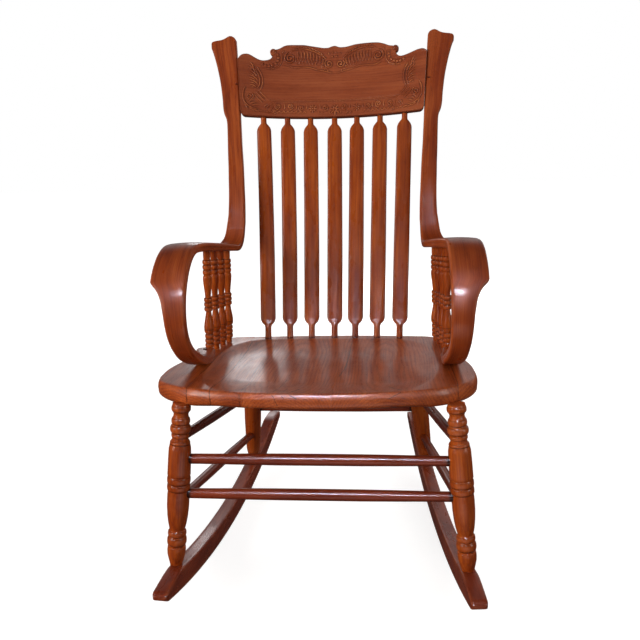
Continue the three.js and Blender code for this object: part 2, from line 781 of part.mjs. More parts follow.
function crestTenon(side, grow) {
  const low = crestTenonInset - grow;
  const high = crestRise - 2 * crestTenonInset + grow;
  const through = new THREE.Vector3(0, Math.cos(crestRake), -Math.sin(crestRake));
  const reach = crestTenonThickness / 2 + grow;
  const row = (height, x) => [-1, 1].map((way) => {
    return crestPlace(side * crestHalfLength(height), height).setX(side * x).addScaledVector(through, way * reach);
  });
  const section = (past) => {
    const [a, b] = row(low, crestHalfLength(low) + past);
    const [c, d] = row(high, crestHalfLength(high) + past);
    return [a, b, d, c];
  };
  return solid(loft([section(-overrun), section(crestTenonLength + grow)]));
}

function crestPin(side, grow = 0) {
  const height = (crestRise - crestTenonInset) / 2;
  const centre = crestPlace(side * crestHalfLength(height), height);
  centre.x = side * (crestHalfLength(height) + crestTenonLength / 2);
  const through = new THREE.Vector3(0, Math.cos(crestRake), -Math.sin(crestRake));
  const reach = stripThickness / 2;
  const past = grow > 0 ? overrun : 0;
  return rod(
    centre.clone().addScaledVector(through, -reach),
    centre.clone().addScaledVector(through, reach),
    crestPinRadius + grow, slimSides, past, past,
  );
}

function crestBody() {
  const half = crestColumnShares.slice(1);
  const rows = [
    ...half.slice().reverse().map((share) => crestSection(share, -1)),
    ...crestColumnShares.map((share) => crestSection(share, 1)),
  ];
  const board = solid(loft(rows));
  const tenons = sides.map(([, side]) => crestTenon(side, 0));
  const sockets = backSpindleNumbers.map((number) => backSpindleSocket(number, "crest"));
  return cut(join([board, ...tenons]), [...sockets, ...sides.map(([, side]) => solid(crestPin(side, gap)))]);
}

// Back spindles: flat paddles with round necks, bent to the sitter's back.

const backSpindleNumbers = [...Array(backSpindleCount).keys()];

function backSpindleLine(number) {
  const offset = number - (backSpindleCount - 1) / 2;
  const outermost = (backSpindleCount - 1) / 2;
  const footBow = backSpindleFootBow * (1 - (offset / outermost) ** 2);
  const x = offset * backSpindleTopSpacing + backSpindleTopShift;
  const share = Math.abs(x) / crestHalfLength(0);
  const footX = offset * backSpindleFootSpacing;
  const footY = backSpindleFootY + footBow;
  const foot = onSeat(footX, footY, seatSurface(footX, footY));
  const top = crestPlace(x, crestBottom(share));
  const chord = top.clone().sub(foot).normalize();
  const backward = new THREE.Vector3(0, chord.z, -chord.y).normalize();
  const middle = foot.clone().lerp(top, 0.5).addScaledVector(backward, 2 * backSpindleBend);
  return new THREE.QuadraticBezierCurve3(foot, middle, top);
}

function backSpindleRows(length) {
  const [width, thick] = [backSpindleWidth / 2, backSpindleThickness / 2];
  const neck = backSpindleNeck;
  const lower = backSpindleFootNeck;
  const full = lower + backSpindleLowerShoulder;
  const upper = length - backSpindleTopNeck;
  const taper = upper - backSpindleUpperShoulder;
  return [
    [0, neck, neck], [lower, neck, neck],
    [lerp(lower, full, 0.3), lerp(neck, width, 0.6), lerp(neck, thick, 0.4)],
    [full, width, thick],
    [lerp(full, taper, 0.33), width, thick],
    [lerp(full, taper, 0.66), width * 0.97, thick],
    [taper, width * 0.93, thick],
    [lerp(taper, upper, 0.6), lerp(neck, width, 0.45), lerp(neck, thick, 0.5)],
    [upper, neck * 0.96, neck * 0.96], [length, neck * 0.96, neck * 0.96],
  ];
}

function backSpindleBody(number) {
  const line = backSpindleLine(number);
  const length = line.getLength();
  const section = (point, tangent, wide, thick) => {
    const across = new THREE.Vector3(1, 0, 0).addScaledVector(tangent, -tangent.x).normalize();
    const through = new THREE.Vector3().crossVectors(tangent, across).normalize();
    const corner = Math.min(wide, thick) * (2 - Math.SQRT2);
    return cornered(point, across, through, wide, thick, corner);
  };
  const rows = backSpindleRows(length).map(([along, wide, thick]) => {
    const share = along / length;
    return section(line.getPointAt(share), line.getTangentAt(share), wide, thick);
  });
  const end = (share, distance, wide) => {
    const tangent = line.getTangentAt(share);
    const point = line.getPointAt(share).addScaledVector(tangent, distance);
    return section(point, tangent, wide, wide);
  };
  rows.unshift(end(0, -backSpindleSeatTenon, backSpindleNeck));
  rows.push(end(1, backSpindleCrestTenon, backSpindleNeck * 0.96));
  return loft(rows);
}

function backSpindleSocket(number, place) {
  const line = backSpindleLine(number);
  const share = place === "seat" ? 0 : 1;
  const tangent = line.getTangentAt(share);
  const way = place === "seat" ? -1 : 1;
  const depth = (place === "seat" ? backSpindleSeatTenon : backSpindleCrestTenon) + gap;
  const point = line.getPointAt(share);
  const radius = (backSpindleNeck + gap) / Math.cos(Math.PI / slimSides) + gap;
  const end = point.clone().addScaledVector(tangent, way * depth);
  return solid(rod(point, end, radius, slimSides, 2 * overrun));
}

// Arm spindles: turned, four under each arm.

const armSpindleNumbers = [...Array(armSpindleCount).keys()];

function armShareAt(y) {
  const { v1, v2 } = stretches.arm;
  return (y - v1.x) / (v2.x - v1.x);
}

function armSpindleEnds(side, number) {
  const y = armSpindleFirstY + number * armSpindleSpacingY;
  const x = armSpindleFirstX - number * armSpindleSpacingX;
  const foot = onSeat(side * x, y);
  const share = armShareAt(y - armSpindleTopShift);
  const { point } = stripPlace("arm", share);
  const [inner, outer] = stripEdgesAt("arm", share);
  const top = new THREE.Vector3(side * (inner + outer) / 2, point.x, point.y);
  return { foot, top };
}

// Shares of the height between seat and arm, from the seat, and of the greatest radius.
const armSpindleProfileShares = [
  [0, 0.52], [0.045, 0.56], [0.06, 0.82], [0.09, 0.66], [0.12, 0.84], [0.15, 0.66],
  [0.18, 0.82], [0.2, 0.7], [0.25, 0.86], [0.4, 0.48], [0.42, 0.8], [0.438, 0.66],
  [0.457, 0.82], [0.476, 0.66], [0.495, 0.8], [0.53, 0.6], [0.71, 1], [0.745, 0.78],
  [0.76, 0.9], [0.79, 0.74], [0.815, 0.9], [0.84, 0.74], [0.865, 0.9], [0.885, 0.78], [1, 0.8],
];

function armSpindleGeometry(side, number) {
  const { foot, top } = armSpindleEnds(side, number);
  const length = foot.distanceTo(top) - stripThickness / 2;
  const profile = armSpindleProfileShares.map(([along, wide]) => {
    return [along * length, wide * armSpindleRadius];
  });
  const [first, last] = [profile[0][1], profile[profile.length - 1][1]];
  const end = foot.distanceTo(top);
  const whole = [[-armSpindleSeatTenon, first], ...profile.slice(1, -1), [end, last]];
  return turned(foot, top, whole, armSpindleSides);
}

function armSpindleSocket(side, number, place) {
  const { foot, top } = armSpindleEnds(side, number);
  const firstRadius = armSpindleProfileShares[0][1] * armSpindleRadius;
  const lastRadius = armSpindleProfileShares.at(-1)[1] * armSpindleRadius;
  if (place === "seat") {
    const end = alongLine(foot, top, -armSpindleSeatTenon - gap);
    return solid(rod(end, foot, firstRadius + 2 * gap, armSpindleSides, 0, 2 * overrun));
  }
  const start = alongLine(top, foot, stripThickness);
  return solid(rod(start, top, lastRadius + gap, armSpindleSides, 0, gap));
}

// Stretchers: turned rails between the legs.

function stretcherEnds(name, side, number) {
  const axis = (kind, way) => legAxis(kind, way);
  const on = (kind, way, z) => atHeight(axis(kind, way).top, axis(kind, way).foot, z);
  if (name === "front") {
    const z = frontStretcherShares[number] * seatHeight;
    return [on("front", -1, z), on("front", 1, z)];
  }
  if (name === "rear") {
    const z = rearStretcherShare * seatHeight;
    return [on("rear", -1, z), on("rear", 1, z)];
  }
  return [
    on("front", side, sideStretcherFrontShares[number] * seatHeight),
    on("rear", side, sideStretcherRearShares[number] * seatHeight),
  ];
}

function stretcherRadius(name) {
  return { front: frontStretcherRadius, side: sideStretcherRadius, rear: rearStretcherRadius }[name];
}

// The stretcher's end sits past the leg's axis by less than its radius, in a blind socket.
function stretcherSpan(name, side, number) {
  const [from, to] = stretcherEnds(name, side, number);
  const firstRadius = name === "rear" ? rearLegRadius : frontLegRadius;
  const lastRadius = name === "front" ? frontLegRadius : rearLegRadius;
  return [
    alongLine(from, to, firstRadius - stretcherTenon),
    alongLine(to, from, lastRadius - stretcherTenon),
  ];
}

function stretcherGeometry(name, side, number) {
  const [from, to] = stretcherSpan(name, side, number);
  const length = from.distanceTo(to);
  const wide = stretcherRadius(name);
  const slim = wide - stretcherEndShrink;
  const profile = [
    [0, slim], [0.12 * length, slim], [0.32 * length, wide],
    [0.68 * length, wide], [0.88 * length, slim], [length, slim],
  ];
  return turned(from, to, profile, slimSides);
}

function stretcherSockets(name, side, number) {
  const [from, to] = stretcherSpan(name, side, number);
  const slim = stretcherRadius(name) - stretcherEndShrink + gap;
  const reach = 2 * (stretcherTenon + overrun);
  return [
    solid(rod(alongLine(from, to, -gap), alongLine(from, to, reach), slim)),
    solid(rod(alongLine(to, from, reach), alongLine(to, from, -gap), slim)),
  ];
}

const stretchersList = [
  ["front_stretcher_upper", "front", 0, 0],
  ["front_stretcher_lower", "front", 0, 1],
  ["rear_stretcher", "rear", 0, 0],
  ...sides.flatMap(([word, side]) => [
    [`${word}_side_stretcher_upper`, "side", side, 0],
    [`${word}_side_stretcher_lower`, "side", side, 1],
  ]),
];

const allStretcherSockets = stretchersList.flatMap(([, name, side, number]) => {
  return stretcherSockets(name, side, number);
});

// Screws: slotted, through each arm's tail into the seat.

function tailScrewLine(side) {
  const share = screwEndDistance / tailLength;
  const { point, normal } = stripPlace("tail", share);
  const [inner, outer] = stripEdgesAt("tail", share);
  const centre = new THREE.Vector3(side * (inner + outer) / 2, point.x, point.y);
  const up = new THREE.Vector3(0, seatNormal.x, seatNormal.y);
  const way = Math.sign(normal.dot(seatNormal)) || 1;
  const head = centre.clone().addScaledVector(up, Math.abs(way) * stripThickness / 2);
  return { head, tip: head.clone().addScaledVector(up, -screwLength) };
}

function tailScrewGeometry(side, grow = 0) {
  const { head, tip } = tailScrewLine(side);
  const past = grow > 0 ? overrun : 0;
  const profile = [
    [-past, screwHeadRadius + grow],
    [screwHeadDepth / 3, screwHeadRadius + grow],
    [screwHeadDepth, screwShankRadius + grow],
    [screwLength + grow, screwShankRadius + grow],
  ];
  return turned(head, tip, profile, slimSides);
}

function tailScrewBody(side) {
  const { head } = tailScrewLine(side);
  const slot = new THREE.BoxGeometry(2 * screwHeadRadius + overrun, screwSlotWidth, screwSlotWidth * 2);
  slot.applyMatrix4(new THREE.Matrix4().makeRotationX(-radians(seatTilt)));
  slot.translate(head.x, head.y, head.z);
  return cut(solid(tailScrewGeometry(side)), [solid(slot)]);
}

// The assembly

const chair = new THREE.Group();
chair.name = "rocking_armchair";

function add(parent, name, geometry, material) {
  const mesh = new THREE.Mesh(geometry, material);
  mesh.name = name;
  parent.add(mesh);
  return mesh;
}

function buildSeat() {
  const blank = solid(seatBlank());
  const sockets = [];
  for (const [, side] of sides) {
    for (const kind of ["front", "rear"]) sockets.push(legSockets(kind, side, "seat"));
    for (const number of armSpindleNumbers) sockets.push(armSpindleSocket(side, number, "seat"));
    sockets.push(solid(tailScrewGeometry(side, gap)));
  }
  for (const number of backSpindleNumbers) sockets.push(backSpindleSocket(number, "seat"));
  const whole = cut(blank, sockets.map(intoSeatFrame));
  for (let number = 0; number <= boardJoints.length; number++) {
    const board = whole.intersect(seatBoardSpace(number));
    add(seatFrame, `seat_board_${number + 1}`, geometryOf(board), wood.seat);
  }
  chair.add(seatFrame);
}

function buildBentSides() {
  const group = new THREE.Group();
  for (const [word, side] of sides) {
    const sockets = armSpindleNumbers.map((number) => armSpindleSocket(side, number, "arm"));
    const tools = [...sockets, crestTenon(side, gap), solid(crestPin(side, gap)), solid(tailScrewGeometry(side, gap))];
    add(group, `${word}_arm_and_post`, geometryOf(cut(stripBody(side), tools)), wood.bent);
    add(group, `${word}_arm_screw`, geometryOf(tailScrewBody(side)), darkSteel);
    add(group, `${word}_crest_pin`, crestPin(side), wood.dark);
  }
  chair.add(group);
}

function buildBack() {
  const group = new THREE.Group();
  add(group, "crest_rail", geometryOf(crestBody()), wood.carved);
  for (const number of backSpindleNumbers) {
    add(group, `back_spindle_${number + 1}`, backSpindleBody(number), wood.turned);
  }
  chair.add(group);
}

function buildArmSpindles() {
  const group = new THREE.Group();
  for (const [word, side] of sides) {
    for (const number of armSpindleNumbers) {
      add(group, `${word}_arm_spindle_${number + 1}`, armSpindleGeometry(side, number), wood.turned);
    }
  }
  chair.add(group);
}

function buildBase() {
  const group = new THREE.Group();
  for (const [word, side] of sides) {
    const runnerTools = [];
    for (const kind of ["front", "rear"]) {
      const pinHole = solid(legPin(kind, side, gap));
      const leg = cut(legBody(kind, side), [...allStretcherSockets, pinHole]);
      add(group, `${word}_${kind}_leg`, geometryOf(leg), wood.turned);
      add(group, `${word}_${kind}_leg_pin`, legPin(kind, side), wood.dark);
      runnerTools.push(legSockets(kind, side, "runner"), pinHole);
    }
    const runner = cut(solid(runnerGeometry(side)), runnerTools);
    add(group, `${word}_runner`, geometryOf(runner), wood.dark);
  }
  for (const [name, kind, side, number] of stretchersList) {
    add(group, name, stretcherGeometry(kind, side, number), wood.dark);
  }
  chair.add(group);
}

buildSeat();
buildBentSides();
buildBack();
buildArmSpindles();
buildBase();

chair.updateMatrixWorld(true);
const outerBox = new THREE.Box3().setFromObject(chair);
chair.position.x = -(outerBox.min.x + outerBox.max.x) / 2;
chair.position.y = -(outerBox.min.y + outerBox.max.y) / 2;

export default chair;
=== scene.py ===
"""A rocking armchair in stained oak: turned legs and spindles, bent arms, a pressed crest rail.

Every length is in metres. The chair is drawn about its seat, as its CAD source draws it: +X is the
right of the photograph, +Y the back and +Z up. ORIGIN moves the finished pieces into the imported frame.
"""

import math

import bmesh
import bpy
import numpy as np
from mathutils import Matrix, Vector


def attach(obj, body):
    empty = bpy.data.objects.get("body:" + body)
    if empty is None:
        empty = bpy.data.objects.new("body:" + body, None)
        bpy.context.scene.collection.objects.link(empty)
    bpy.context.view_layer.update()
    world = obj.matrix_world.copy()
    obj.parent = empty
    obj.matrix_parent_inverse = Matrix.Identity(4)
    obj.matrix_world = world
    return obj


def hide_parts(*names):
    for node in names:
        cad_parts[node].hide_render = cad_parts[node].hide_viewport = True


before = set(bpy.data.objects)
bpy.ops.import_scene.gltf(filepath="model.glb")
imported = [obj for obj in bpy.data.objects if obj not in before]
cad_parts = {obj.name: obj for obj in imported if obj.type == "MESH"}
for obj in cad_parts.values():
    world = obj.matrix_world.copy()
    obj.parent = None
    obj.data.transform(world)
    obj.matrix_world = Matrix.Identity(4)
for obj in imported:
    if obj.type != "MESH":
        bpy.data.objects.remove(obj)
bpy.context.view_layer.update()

ORIGIN = np.array([0.00042, -0.10605, 0.0])
SIDES = (("left", -1), ("right", 1))

# Seat
SEAT_HEIGHT = 0.381
SEAT_TILT = math.radians(2.8)
SEAT_THICKNESS = 0.031
SEAT_HALF_WIDTH = 0.283
SEAT_REAR_HALF_WIDTH = 0.243
SEAT_FRONT = 0.241
SEAT_REAR = 0.240
SEAT_FRONT_BOW = 0.028
SEAT_REAR_BOW = 0.010
SEAT_FRONT_CORNER = 0.092
SEAT_REAR_CORNER = 0.046
SEAT_SHIFT = -0.007
DISH_DEPTH = 0.0110
DISH_HALF_WIDTH = 0.216
DISH_REAR = 0.200
DISH_FRONT = 0.230
DISH_SLOPE = {"side": 0.060, "front": 0.108, "rear": 0.112}
DISH_CORNER = 1.4
DISH_STEEP = 0.7
DISH_STEEP_Y = (0.0, -0.12)
BOARD_JOINTS = (-0.221, -0.179, -0.122, 0.026, 0.234)
JOINT_WIDTH = 0.0003

# Bent strip that makes an arm and a back post
STRIP_THICKNESS = 0.016
STRIP_EDGE_RADIUS = 0.0042
TAIL_LENGTH = 0.056
CURL_CENTRE = -0.056
CURL_RADIUS = 0.105
CURL_FOOT_REACH = 0.150
ARM_RISE = math.radians(6.5)
ARM_REAR = 0.176
ELBOW_RADIUS = 0.055
POST_FOOT_RAKE = math.radians(19)
POST_TOP_RAKE = math.radians(11.5)
POST_TOP = (0.353, 1.019)
FIT_GAP = 0.0003

# Crest rail
CREST_FOOT = 0.858
CREST_RISE = 0.153
CREST_THICKNESS = 0.019
CREST_BOW = 0.035

# Back spindles
BACK_COUNT = 7
BACK_FOOT_Y = 0.205
BACK_FOOT_BOW = 0.009
BACK_FOOT_SPACING = 0.048
BACK_TOP_SPACING = 0.0523
BACK_TOP_SHIFT = 0.004
BACK_BEND = 0.011
BACK_NECK = 0.0064
BACK_WIDTH = 0.0340
BACK_THICKNESS = 0.0095

# Arm spindles
ARM_COUNT = 4
ARM_FIRST_Y = 0.074
ARM_SPACING_Y = 0.035
ARM_FIRST_X = 0.2455
ARM_SPACING_X = 0.0052
ARM_TOP_SHIFT = 0.012
# How far each side's real arm spindles stand off the plan: at the foot and the top, first and last one.
ARM_NUDGE = {-1: ((-0.0004, -0.0030), (-0.0010, -0.0022)), 1: ((-0.0075, -0.0075), (-0.0040, -0.0040))}
ARM_RADIUS = 0.010

# Runners, legs and stretchers
RUNNER_RADIUS = 1.400
RUNNER_DEPTH = 0.037
RUNNER_WIDTH = 0.026
RUNNER_EXTRA = 0.002
RUNNER_FRONT = 0.309
RUNNER_REAR = 0.522
RUNNER_HALF_SPACING = 0.234
RUNNER_TOE_IN = math.radians(5.3)
RUNNER_BALANCE = 0.073
FRONT_LEG = {"x": 0.229, "y": -0.196, "foot": -0.214, "radius": 0.0200}
REAR_LEG = {"x": 0.174, "y": 0.160, "foot": 0.290, "radius": 0.0195}
# How far the real front legs stand off the plan, at the top and the foot, and how far the upper and
# the lower side rail stand above it.
LEG_NUDGE = {-1: (-0.0042, -0.0046), 1: (0.0009, -0.0010)}
RAIL_NUDGE = {-1: (0.0028, 0.0), 1: (-0.0028, -0.0020)}
FRONT_STRETCHER_HEIGHTS = (0.2636, 0.2007)
SIDE_STRETCHER_HEIGHTS = ((0.2979, 0.2461), (0.1859, 0.1269))
REAR_STRETCHER_HEIGHT = 0.2031
FRONT_STRETCHER_RADIUS = 0.0102
SIDE_STRETCHER_RADIUS = 0.0094
REAR_STRETCHER_RADIUS = 0.0086
STRETCHER_SUNK = 0.010


# ---- Small tools ---------------------------------------------------------------------------


def lerp(a, b, t):
    return a + (b - a) * t


def smooth(low, high, x):
    t = np.clip((x - low) / (high - low), 0, 1)
    return t * t * (3 - 2 * t)


def unit(v):
    v = np.asarray(v, float)
    return v / np.linalg.norm(v, axis=-1, keepdims=True)


def through(xs, ys, x):
    """A smooth curve through the points that never swings past them."""
    xs, ys, x = np.asarray(xs, float), np.asarray(ys, float), np.asarray(x, float)
    steps = np.diff(xs)
    slopes = np.diff(ys) / steps
    tangents = np.zeros(len(xs))
    for i in range(1, len(xs) - 1):
        a, b = slopes[i - 1], slopes[i]
        if a * b > 0:
            w1, w2 = 2 * steps[i] + steps[i - 1], steps[i] + 2 * steps[i - 1]
            tangents[i] = (w1 + w2) / (w1 / a + w2 / b)
    tangents[0], tangents[-1] = slopes[0], slopes[-1]
    k = np.clip(np.searchsorted(xs, x) - 1, 0, len(xs) - 2)
    h = steps[k]
    t = np.clip((x - xs[k]) / h, 0, 1)
    return (
        (2 * t**3 - 3 * t**2 + 1) * ys[k] + (t**3 - 2 * t**2 + t) * h * tangents[k]
        + (3 * t**2 - 2 * t**3) * ys[k + 1] + (t**3 - t**2) * h * tangents[k + 1]
    )


def lengths(points):
    """How far along its own path each point lies."""
    return np.r_[0, np.cumsum(np.linalg.norm(np.diff(points, axis=0), axis=1))]


def ring_quads(count, around):
    """The faces between neighbouring closed rows of points."""
    return [(r * around + i, r * around + (i + 1) % around, (r + 1) * around + (i + 1) % around,
             (r + 1) * around + i) for r in range(count - 1) for i in range(around)]


def on_seat(x, y, z=0.0):
    """A point given on the seat's plane, which tips back about its middle line."""
    cos, sin = math.cos(SEAT_TILT), math.sin(SEAT_TILT)
    return np.stack(np.broadcast_arrays(x, y * cos + z * sin, SEAT_HEIGHT - y * sin + z * cos), -1)


SEAT_UP = np.array([0.0, math.sin(SEAT_TILT), math.cos(SEAT_TILT)])


def add_piece(name, verts, faces, grain, material, replaced=(), dirt_and_shade=None, wear_and_highlight=None, tone=0.0,
              sharp=38):
    """Makes a mesh piece that rides on the chair. grain holds each vertex's place in the wood."""
    mesh = bpy.data.meshes.new(name)
    mesh.from_pydata((np.asarray(verts) + ORIGIN).tolist(), [], faces)
    mesh.update()
    place = mesh.attributes.new("grain", "FLOAT_VECTOR", "POINT")
    place.data.foreach_set("vector", np.asarray(grain, np.float32).ravel())
    count = len(mesh.vertices)
    for label, values in (("dirt_and_shade", dirt_and_shade), ("wear_and_highlight", wear_and_highlight), ("tone", np.zeros(count) + tone)):
        layer = mesh.attributes.new(label, "FLOAT", "POINT")
        values = np.zeros(count) if values is None else values
        layer.data.foreach_set("value", np.asarray(values, np.float32).ravel())
    piece = bpy.data.objects.new(name, mesh)
    bpy.context.scene.collection.objects.link(piece)
    mesh.materials.append(material)
    mesh.shade_smooth()
    mesh.set_sharp_from_angle(angle=math.radians(sharp))
    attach(piece, "root")
    if replaced:
        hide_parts(*replaced)
    return piece


def skin(rows, pairs=None):
    """Quads over rows of points, each row closed. Both ends get a fan, or quads between given pairs."""
    count, around = rows.shape[:2]
    faces = ring_quads(count, around)
    verts = rows.reshape(-1, 3)
    base = (count - 1) * around
    if pairs is None:
        first, last = len(verts), len(verts) + 1
        verts = np.vstack([verts, rows[0].mean(0), rows[-1].mean(0)])
        for i in range(around):
            j = (i + 1) % around
            faces.append((first, j, i))
            faces.append((last, base + i, base + j))
    else:
        for (a, b), (c, d) in zip(pairs[:-1], pairs[1:]):
            faces.append((a, b, d, c))
            faces.append((base + c, base + d, base + b, base + a))
    if volume(verts, faces) < 0:
        faces = [tuple(reversed(f)) for f in faces]
    return verts, faces


def volume(verts, faces):
    total = 0.0
    for f in faces:
        a = verts[f[0]]
        for k in range(1, len(f) - 1):
            total += np.dot(a, np.cross(verts[f[k]], verts[f[k + 1]]))
    return total


def with_ends(values, rows):
    """Gives the two end points of a skin the mean of their row's values."""
    values = np.asarray(values, float)
    flat = values.reshape(rows.shape[0] * rows.shape[1], -1)
    ends = [values[0].reshape(rows.shape[1], -1).mean(0), values[-1].reshape(rows.shape[1], -1).mean(0)]
    return np.vstack([flat, ends])


# The seed of the log that the pieces are sawn from, its length in metres, and each kind's first number.
LOG_SEED = 700
LOG_LENGTH = 9
SAWN = {"arm": 20, "crest": 30, "back": 40, "arm_spindle": 60, "leg": 80, "front_rail": 90, "rear_rail": 92,
        "side_rail": 94, "runner": 100, "leg_pin": 110, "crest_pin": 116, "knob": 120}


def board_place(number, spread=0.03, depth=0.07):
    """Where a piece was sawn from the log: a shift of its wood figure, the same at each run."""
    noise = np.random.default_rng(LOG_SEED + number)
    along, across = noise.uniform(0, LOG_LENGTH), noise.uniform(-spread, spread)
    return np.array([along, across, depth * noise.uniform(0.7, 1.5)])


def facing_pairs(section):
    """Pairs of a section's points that face each other through its thickness, in order across it."""
    order = np.argsort(section[:, 0], kind="stable")
    return list(zip([i for i in order if section[i, 1] > 0], [i for i in order if section[i, 1] < 0]))


def rounded_section(half_width, half_depth, radius, corner_steps=5, side_steps=6):
    """A rectangle with round corners, counter-clockwise, as (across, through) pairs."""
    points = []
    a, b = half_width - radius, half_depth - radius
    corners = [(a, b, 0), (-a, b, 90), (-a, -b, 180), (a, -b, 270)]
    for n, (x, y, start) in enumerate(corners):
        for k in range(corner_steps + 1):
            angle = math.radians(start + 90 * k / corner_steps)
            points.append((x + radius * math.cos(angle), y + radius * math.sin(angle)))
        nx, ny, _ = corners[(n + 1) % 4]
        angle = math.radians(start + 90)
        x0, y0 = x + radius * math.cos(angle), y + radius * math.sin(angle)
        x1, y1 = nx + radius * math.cos(angle), ny + radius * math.sin(angle)
        for k in range(1, side_steps):
            points.append((lerp(x0, x1, k / side_steps), lerp(y0, y1, k / side_steps)))
    return np.array(points)


# ---- Wood ----------------------------------------------------------------------------------


def linear(hexa):
    """A colour written as #rrggbb, in the renderer's linear values."""
    parts = [int(hexa[i:i + 2], 16) / 255 for i in (1, 3, 5)]
    return [c / 12.92 if c <= 0.04045 else ((c + 0.055) / 1.055) ** 2.4 for c in parts] + [1.0]


# Cells a metre of each noise: along the grain, across it and through it.
CELLS = {
    "sway": (3.0, 14.0, 14.0), "drift": (5.0, 22.0, 22.0), "streak": (6.0, 420.0, 420.0),
    "broad": (3.0, 52.0, 52.0), "cloud": (9.0, 20.0, 20.0), "pore": (75.0, 2300.0, 2300.0),
    "patch": (28.0, 28.0, 28.0), "smear": (16.0, 40.0, 40.0), "ripple": (9.0, 26.0, 26.0),
    "crack": (160.0, 160.0, 160.0), "rust": (420.0, 420.0, 420.0),
}
# How strongly the noises and the rings act on the grain's run, its colour and its relief.
HALF = (0.5, 0.5, 0.5)
GRAIN_SWAY = (0.0, 0.014, 0.014)
RING_DRIFT = 2.4
EARLY_DARK = 0.16
EARLY_BALANCE = 0.06
SWING = 0.45
BUMP = {"pores": -0.7, "streak": 0.35, "early": -0.3, "split": -2.5}
CRACK_SWAY = (0.0035, 0.0035, 0.0)
CRACK_STAIN = "#1c0703"
# The two faces that cracks are drawn on, as the coordinates that count on each.
TOP_FACE, FRONT_EDGE = (1.0, 1.0, 0.0), (1.0, 0.0, 1.0)


class Graph:
    """Shorthand for building the nodes of a material or a world."""

    def __init__(self, owner):
        owner.use_nodes = True
        self.owner, self.tree = owner, owner.node_tree
        self.tree.nodes.clear()

    def node(self, kind, inputs=None, **settings):
        node = self.tree.nodes.new(kind)
        for key, value in settings.items():
            setattr(node, key, value)
        for key, value in (inputs or {}).items():
            self.feed(node.inputs[key], value)
        return node

    def feed(self, socket, value):
        if isinstance(value, bpy.types.NodeSocket):
            self.tree.links.new(value, socket)
        else:
            socket.default_value = value

    def attribute(self, name, output="Fac"):
        return self.node("ShaderNodeAttribute", attribute_name=name).outputs[output]

    def math(self, operation, a, b=0.0, clamp=False):
        return self.node("ShaderNodeMath", {0: a, 1: b}, operation=operation, use_clamp=clamp).outputs[0]

    def add(self, a, b):
        return self.math("ADD", a, b)

    def times(self, a, b, clamp=False):
        return self.math("MULTIPLY", a, b, clamp)

    def vector(self, operation, a, b=(0, 0, 0), output="Vector"):
        return self.node("ShaderNodeVectorMath", {0: a, 1: b}, operation=operation).outputs[output]

    def noise(self, place, kind, detail=2.0, roughness=0.5, output="Fac"):
        cells = self.vector("MULTIPLY", place, CELLS[kind])
        inputs = {"Vector": cells, "Scale": 1.0, "Detail": detail, "Roughness": roughness}
        return self.node("ShaderNodeTexNoise", inputs, noise_dimensions="3D").outputs[output]

    def swayed(self, place, kind, reach):
        """The place, moved about by a noise."""
        sway = self.vector("SUBTRACT", self.noise(place, kind, output="Color"), HALF)
        return self.vector("ADD", place, self.vector("MULTIPLY", sway, reach))

    def span(self, value, low, high, to_low=0.0, to_high=1.0):
        inputs = {"Value": value, "From Min": low, "From Max": high, "To Min": to_low, "To Max": to_high}
        return self.node("ShaderNodeMapRange", inputs, interpolation_type="SMOOTHSTEP").outputs[0]

    def mix(self, fac, a, b):
        return self.node("ShaderNodeMix", {0: fac, 6: a, 7: b}, data_type="RGBA").outputs[2]


def crack_mask(g, cracks):
    """1 inside fine splits of the wood.

    Each is two points of the finished chair, a half width and the face it is drawn on, which leaves
    its depth out of the distance.
    """
    place = g.swayed(g.node("ShaderNodeTexCoord").outputs["Object"], "crack", CRACK_SWAY)
    flat = {face: g.vector("MULTIPLY", place, face) for face in (TOP_FACE, FRONT_EDGE)}
    total = None
    for start, end, width, face in cracks:
        a, along = np.array(start) * face, (np.array(end) - np.array(start)) * face
        away = g.vector("SUBTRACT", flat[face], tuple(a))
        share = g.vector("DOT_PRODUCT", away, tuple(along / float(along.dot(along))), "Value")
        share = g.math("MINIMUM", g.math("MAXIMUM", share, 0.0), 1.0)
        nearest = g.node("ShaderNodeVectorMath", {0: tuple(along), "Scale": share}, operation="SCALE")
        gap = g.vector("LENGTH", g.vector("SUBTRACT", away, nearest.outputs[0]), output="Value")
        mask = g.span(gap, width, width * 0.2)
        total = mask if total is None else g.math("MAXIMUM", total, mask)
    return total


